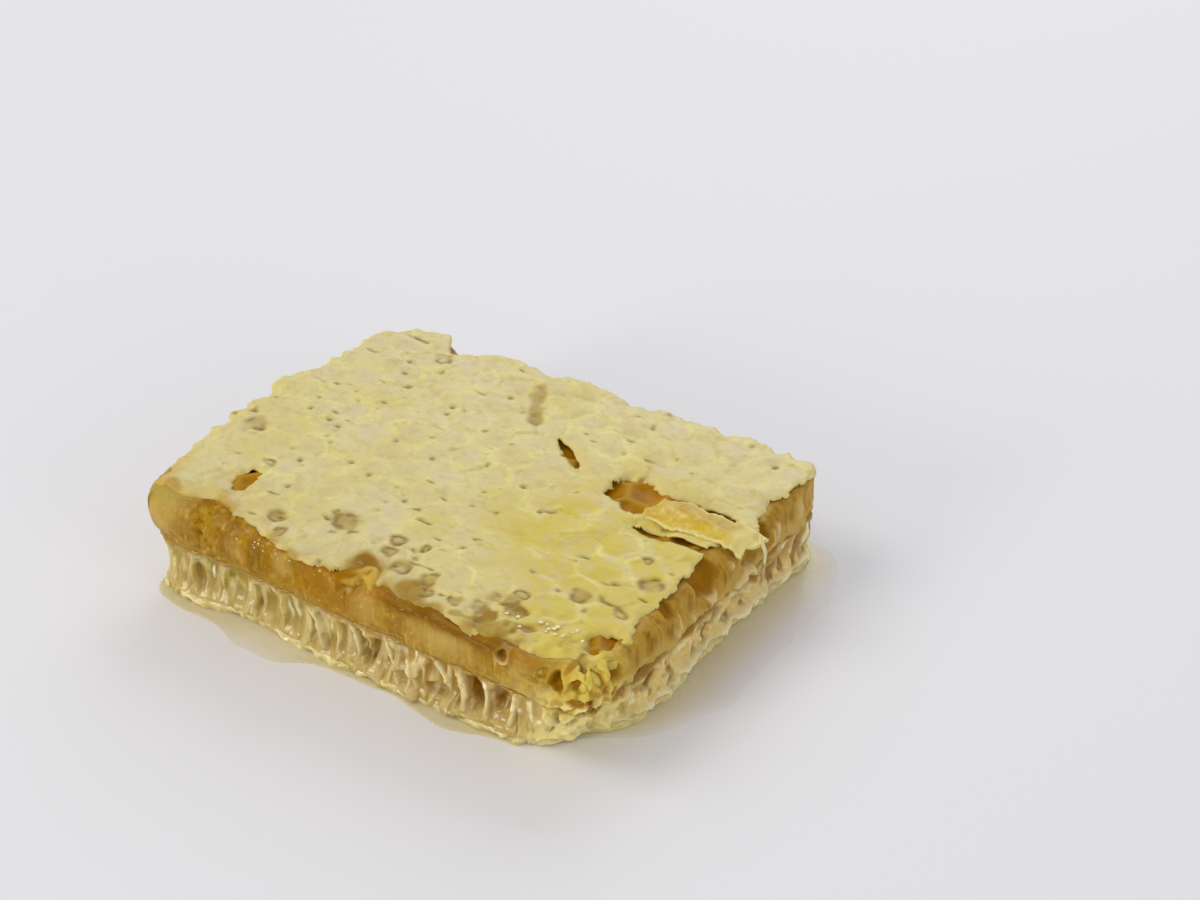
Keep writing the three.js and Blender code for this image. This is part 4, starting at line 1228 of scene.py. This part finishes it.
# %% The materials
WAX_RADIUS, HONEY_RADIUS = (1.2, 1.0, 0.5), (1.2, 1.05, 0.35)
DRAINED_RADIUS = (1.3, 1.25, 0.6)
MATERIALS = {
    # Capping wax, laid by the bees and moist: cloudy and almost dull, so its relief shows.
    "capping": wax_or_honey("capping wax, moist", capping_shade, 0.35, WAX_RADIUS, 0.45, 0.08,
                            [(1.3, 0.10), (0.45, 0.06)], 0.3),
    # Comb cut open and drained: pale walls that glow, under a thin shiny coat of honey.
    "drained": wax_or_honey("drained comb, honey coated", lower_shade, 0.25, DRAINED_RADIUS, 0.3, 0.35,
                            [(1.0, 0.08)], 0.25),
    # Honey seen through a smear of cut wax: deep amber, soft, with hardly a mirror image in it.
    "honey": wax_or_honey("honey behind cut wax", upper_shade, 0.3, HONEY_RADIUS, 0.3, 0.1,
                          [(1.8, 0.2), (0.6, 0.1), (0.25, 0.03)], 0.06),
    # The lower capping's edge, crinkled by the knife: light passes through, and the folds glisten.
    "edge": wax_or_honey("crinkled wax edge", two_tone("DFD092", "C4AE62", 1.2), 0.6, WAX_RADIUS, 0.3, 0.5,
                         [(0.8, 0.08)]),
    # Honey standing in cells under the capping: dark and still, in the shade of the hole's edge.
    "pool": wax_or_honey("honey in open cells", pool_shade, 0.1, HONEY_RADIUS, 0.35, 0.03,
                         [(2.0, 0.1)], 0.04),
    # The midrib, coated with honey: a dark wet line between the tiers, its brown partly honey and partly
    # painted shade for the recess under the upper tier.
    "rib": wax_or_honey("midrib, honey coated", two_tone("8C6A1A", "AA8A3C", 2), 0.4, HONEY_RADIUS, 0.3, 0.4,
                        [(1.0, 0.06)]),
    # Capping torn loose and soaked from below: yellower than the rest, dull, with paler torn edges.
    "strip": wax_or_honey("torn capping, honey soaked", strip_shade, 0.2, WAX_RADIUS, 0.4, 0.1,
                          [(1.2, 0.12), (0.4, 0.06)], 0.3),
    # Wax drawn out to a thread: so thin that light fills it, and it looks almost white.
    "strand": wax_or_honey("drawn-out wax thread", two_tone("E6DAA0", "CDB870", 1.2), 0.5, WAX_RADIUS,
                           0.3, 0.5, [(0.8, 0.06)]),
    # Small drops of honey, coloured almost white as painted glints, with one sharp highlight each.
    "bead": wax_or_honey("honey beads", two_tone("EEE2AC", "DCC88A", 1), 0.5, HONEY_RADIUS, 0.06, 1.0,
                         [(0.8, 0.01)]),
}

# %% The film of honey
FILM_CLEAR, FILM_DEEP = 0.01, 0.42  # how much the film hides where it is thinnest and deepest
# Honey run out to a film: the floor shows through it, and only its rim is yellow and shines.
film, film_tree, film_surface = new_material(
    "thin honey film", Base_Color=colour("F8EAAE"), Roughness=0.08, IOR=HONEY_IOR)
film_deep = add(film_tree, "ShaderNodeAttribute", attribute_name="deep").outputs["Fac"]
film_alpha = add(film_tree, "ShaderNodeMapRange", {
    "Value": film_deep, "To Min": FILM_CLEAR, "To Max": FILM_DEEP})
film_tree.links.new(film_alpha.outputs["Result"], film_surface.inputs["Alpha"])
MATERIALS["film"] = film

# %% [markdown]
# ## Dressing the solids
# Each piece gets its material and rides on the block's one body. Five pieces stand
# for solids and take their places. The others lie on them.

# %% Materials on the pieces
for piece, kind, node, slot in [
    (capping, "capping", "upper_capping", "capping_wax"),
    (strip, "strip", "upper_capping", "capping_wax"),
    (strand, "strand", None, "capping_wax"),
    (lower_comb, "drained", "lower_cells", "drained_comb"),
    (upper_comb, "honey", "upper_cells", "honey"),
    (pools, "pool", None, "honey"),
    (honey_beads, "bead", None, "honey"),
    (seep, "film", None, "honey"),
    (midrib_edge, "rib", "midrib", "comb_wax"),
    (base_edge, "edge", "lower_capping", "comb_wax"),
]:
    piece.data.materials.clear()
    piece.data.materials.append(MATERIALS[kind])
    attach(piece, "root")
    if node:
        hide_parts(node)

# %% Finish
low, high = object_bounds()
size = {"solids": [list(solid_box[0]), list(solid_box[1])], "pieces": [list(low), list(high)]}
print("pieces from", in_mm(low), "to", in_mm(high), "mm")
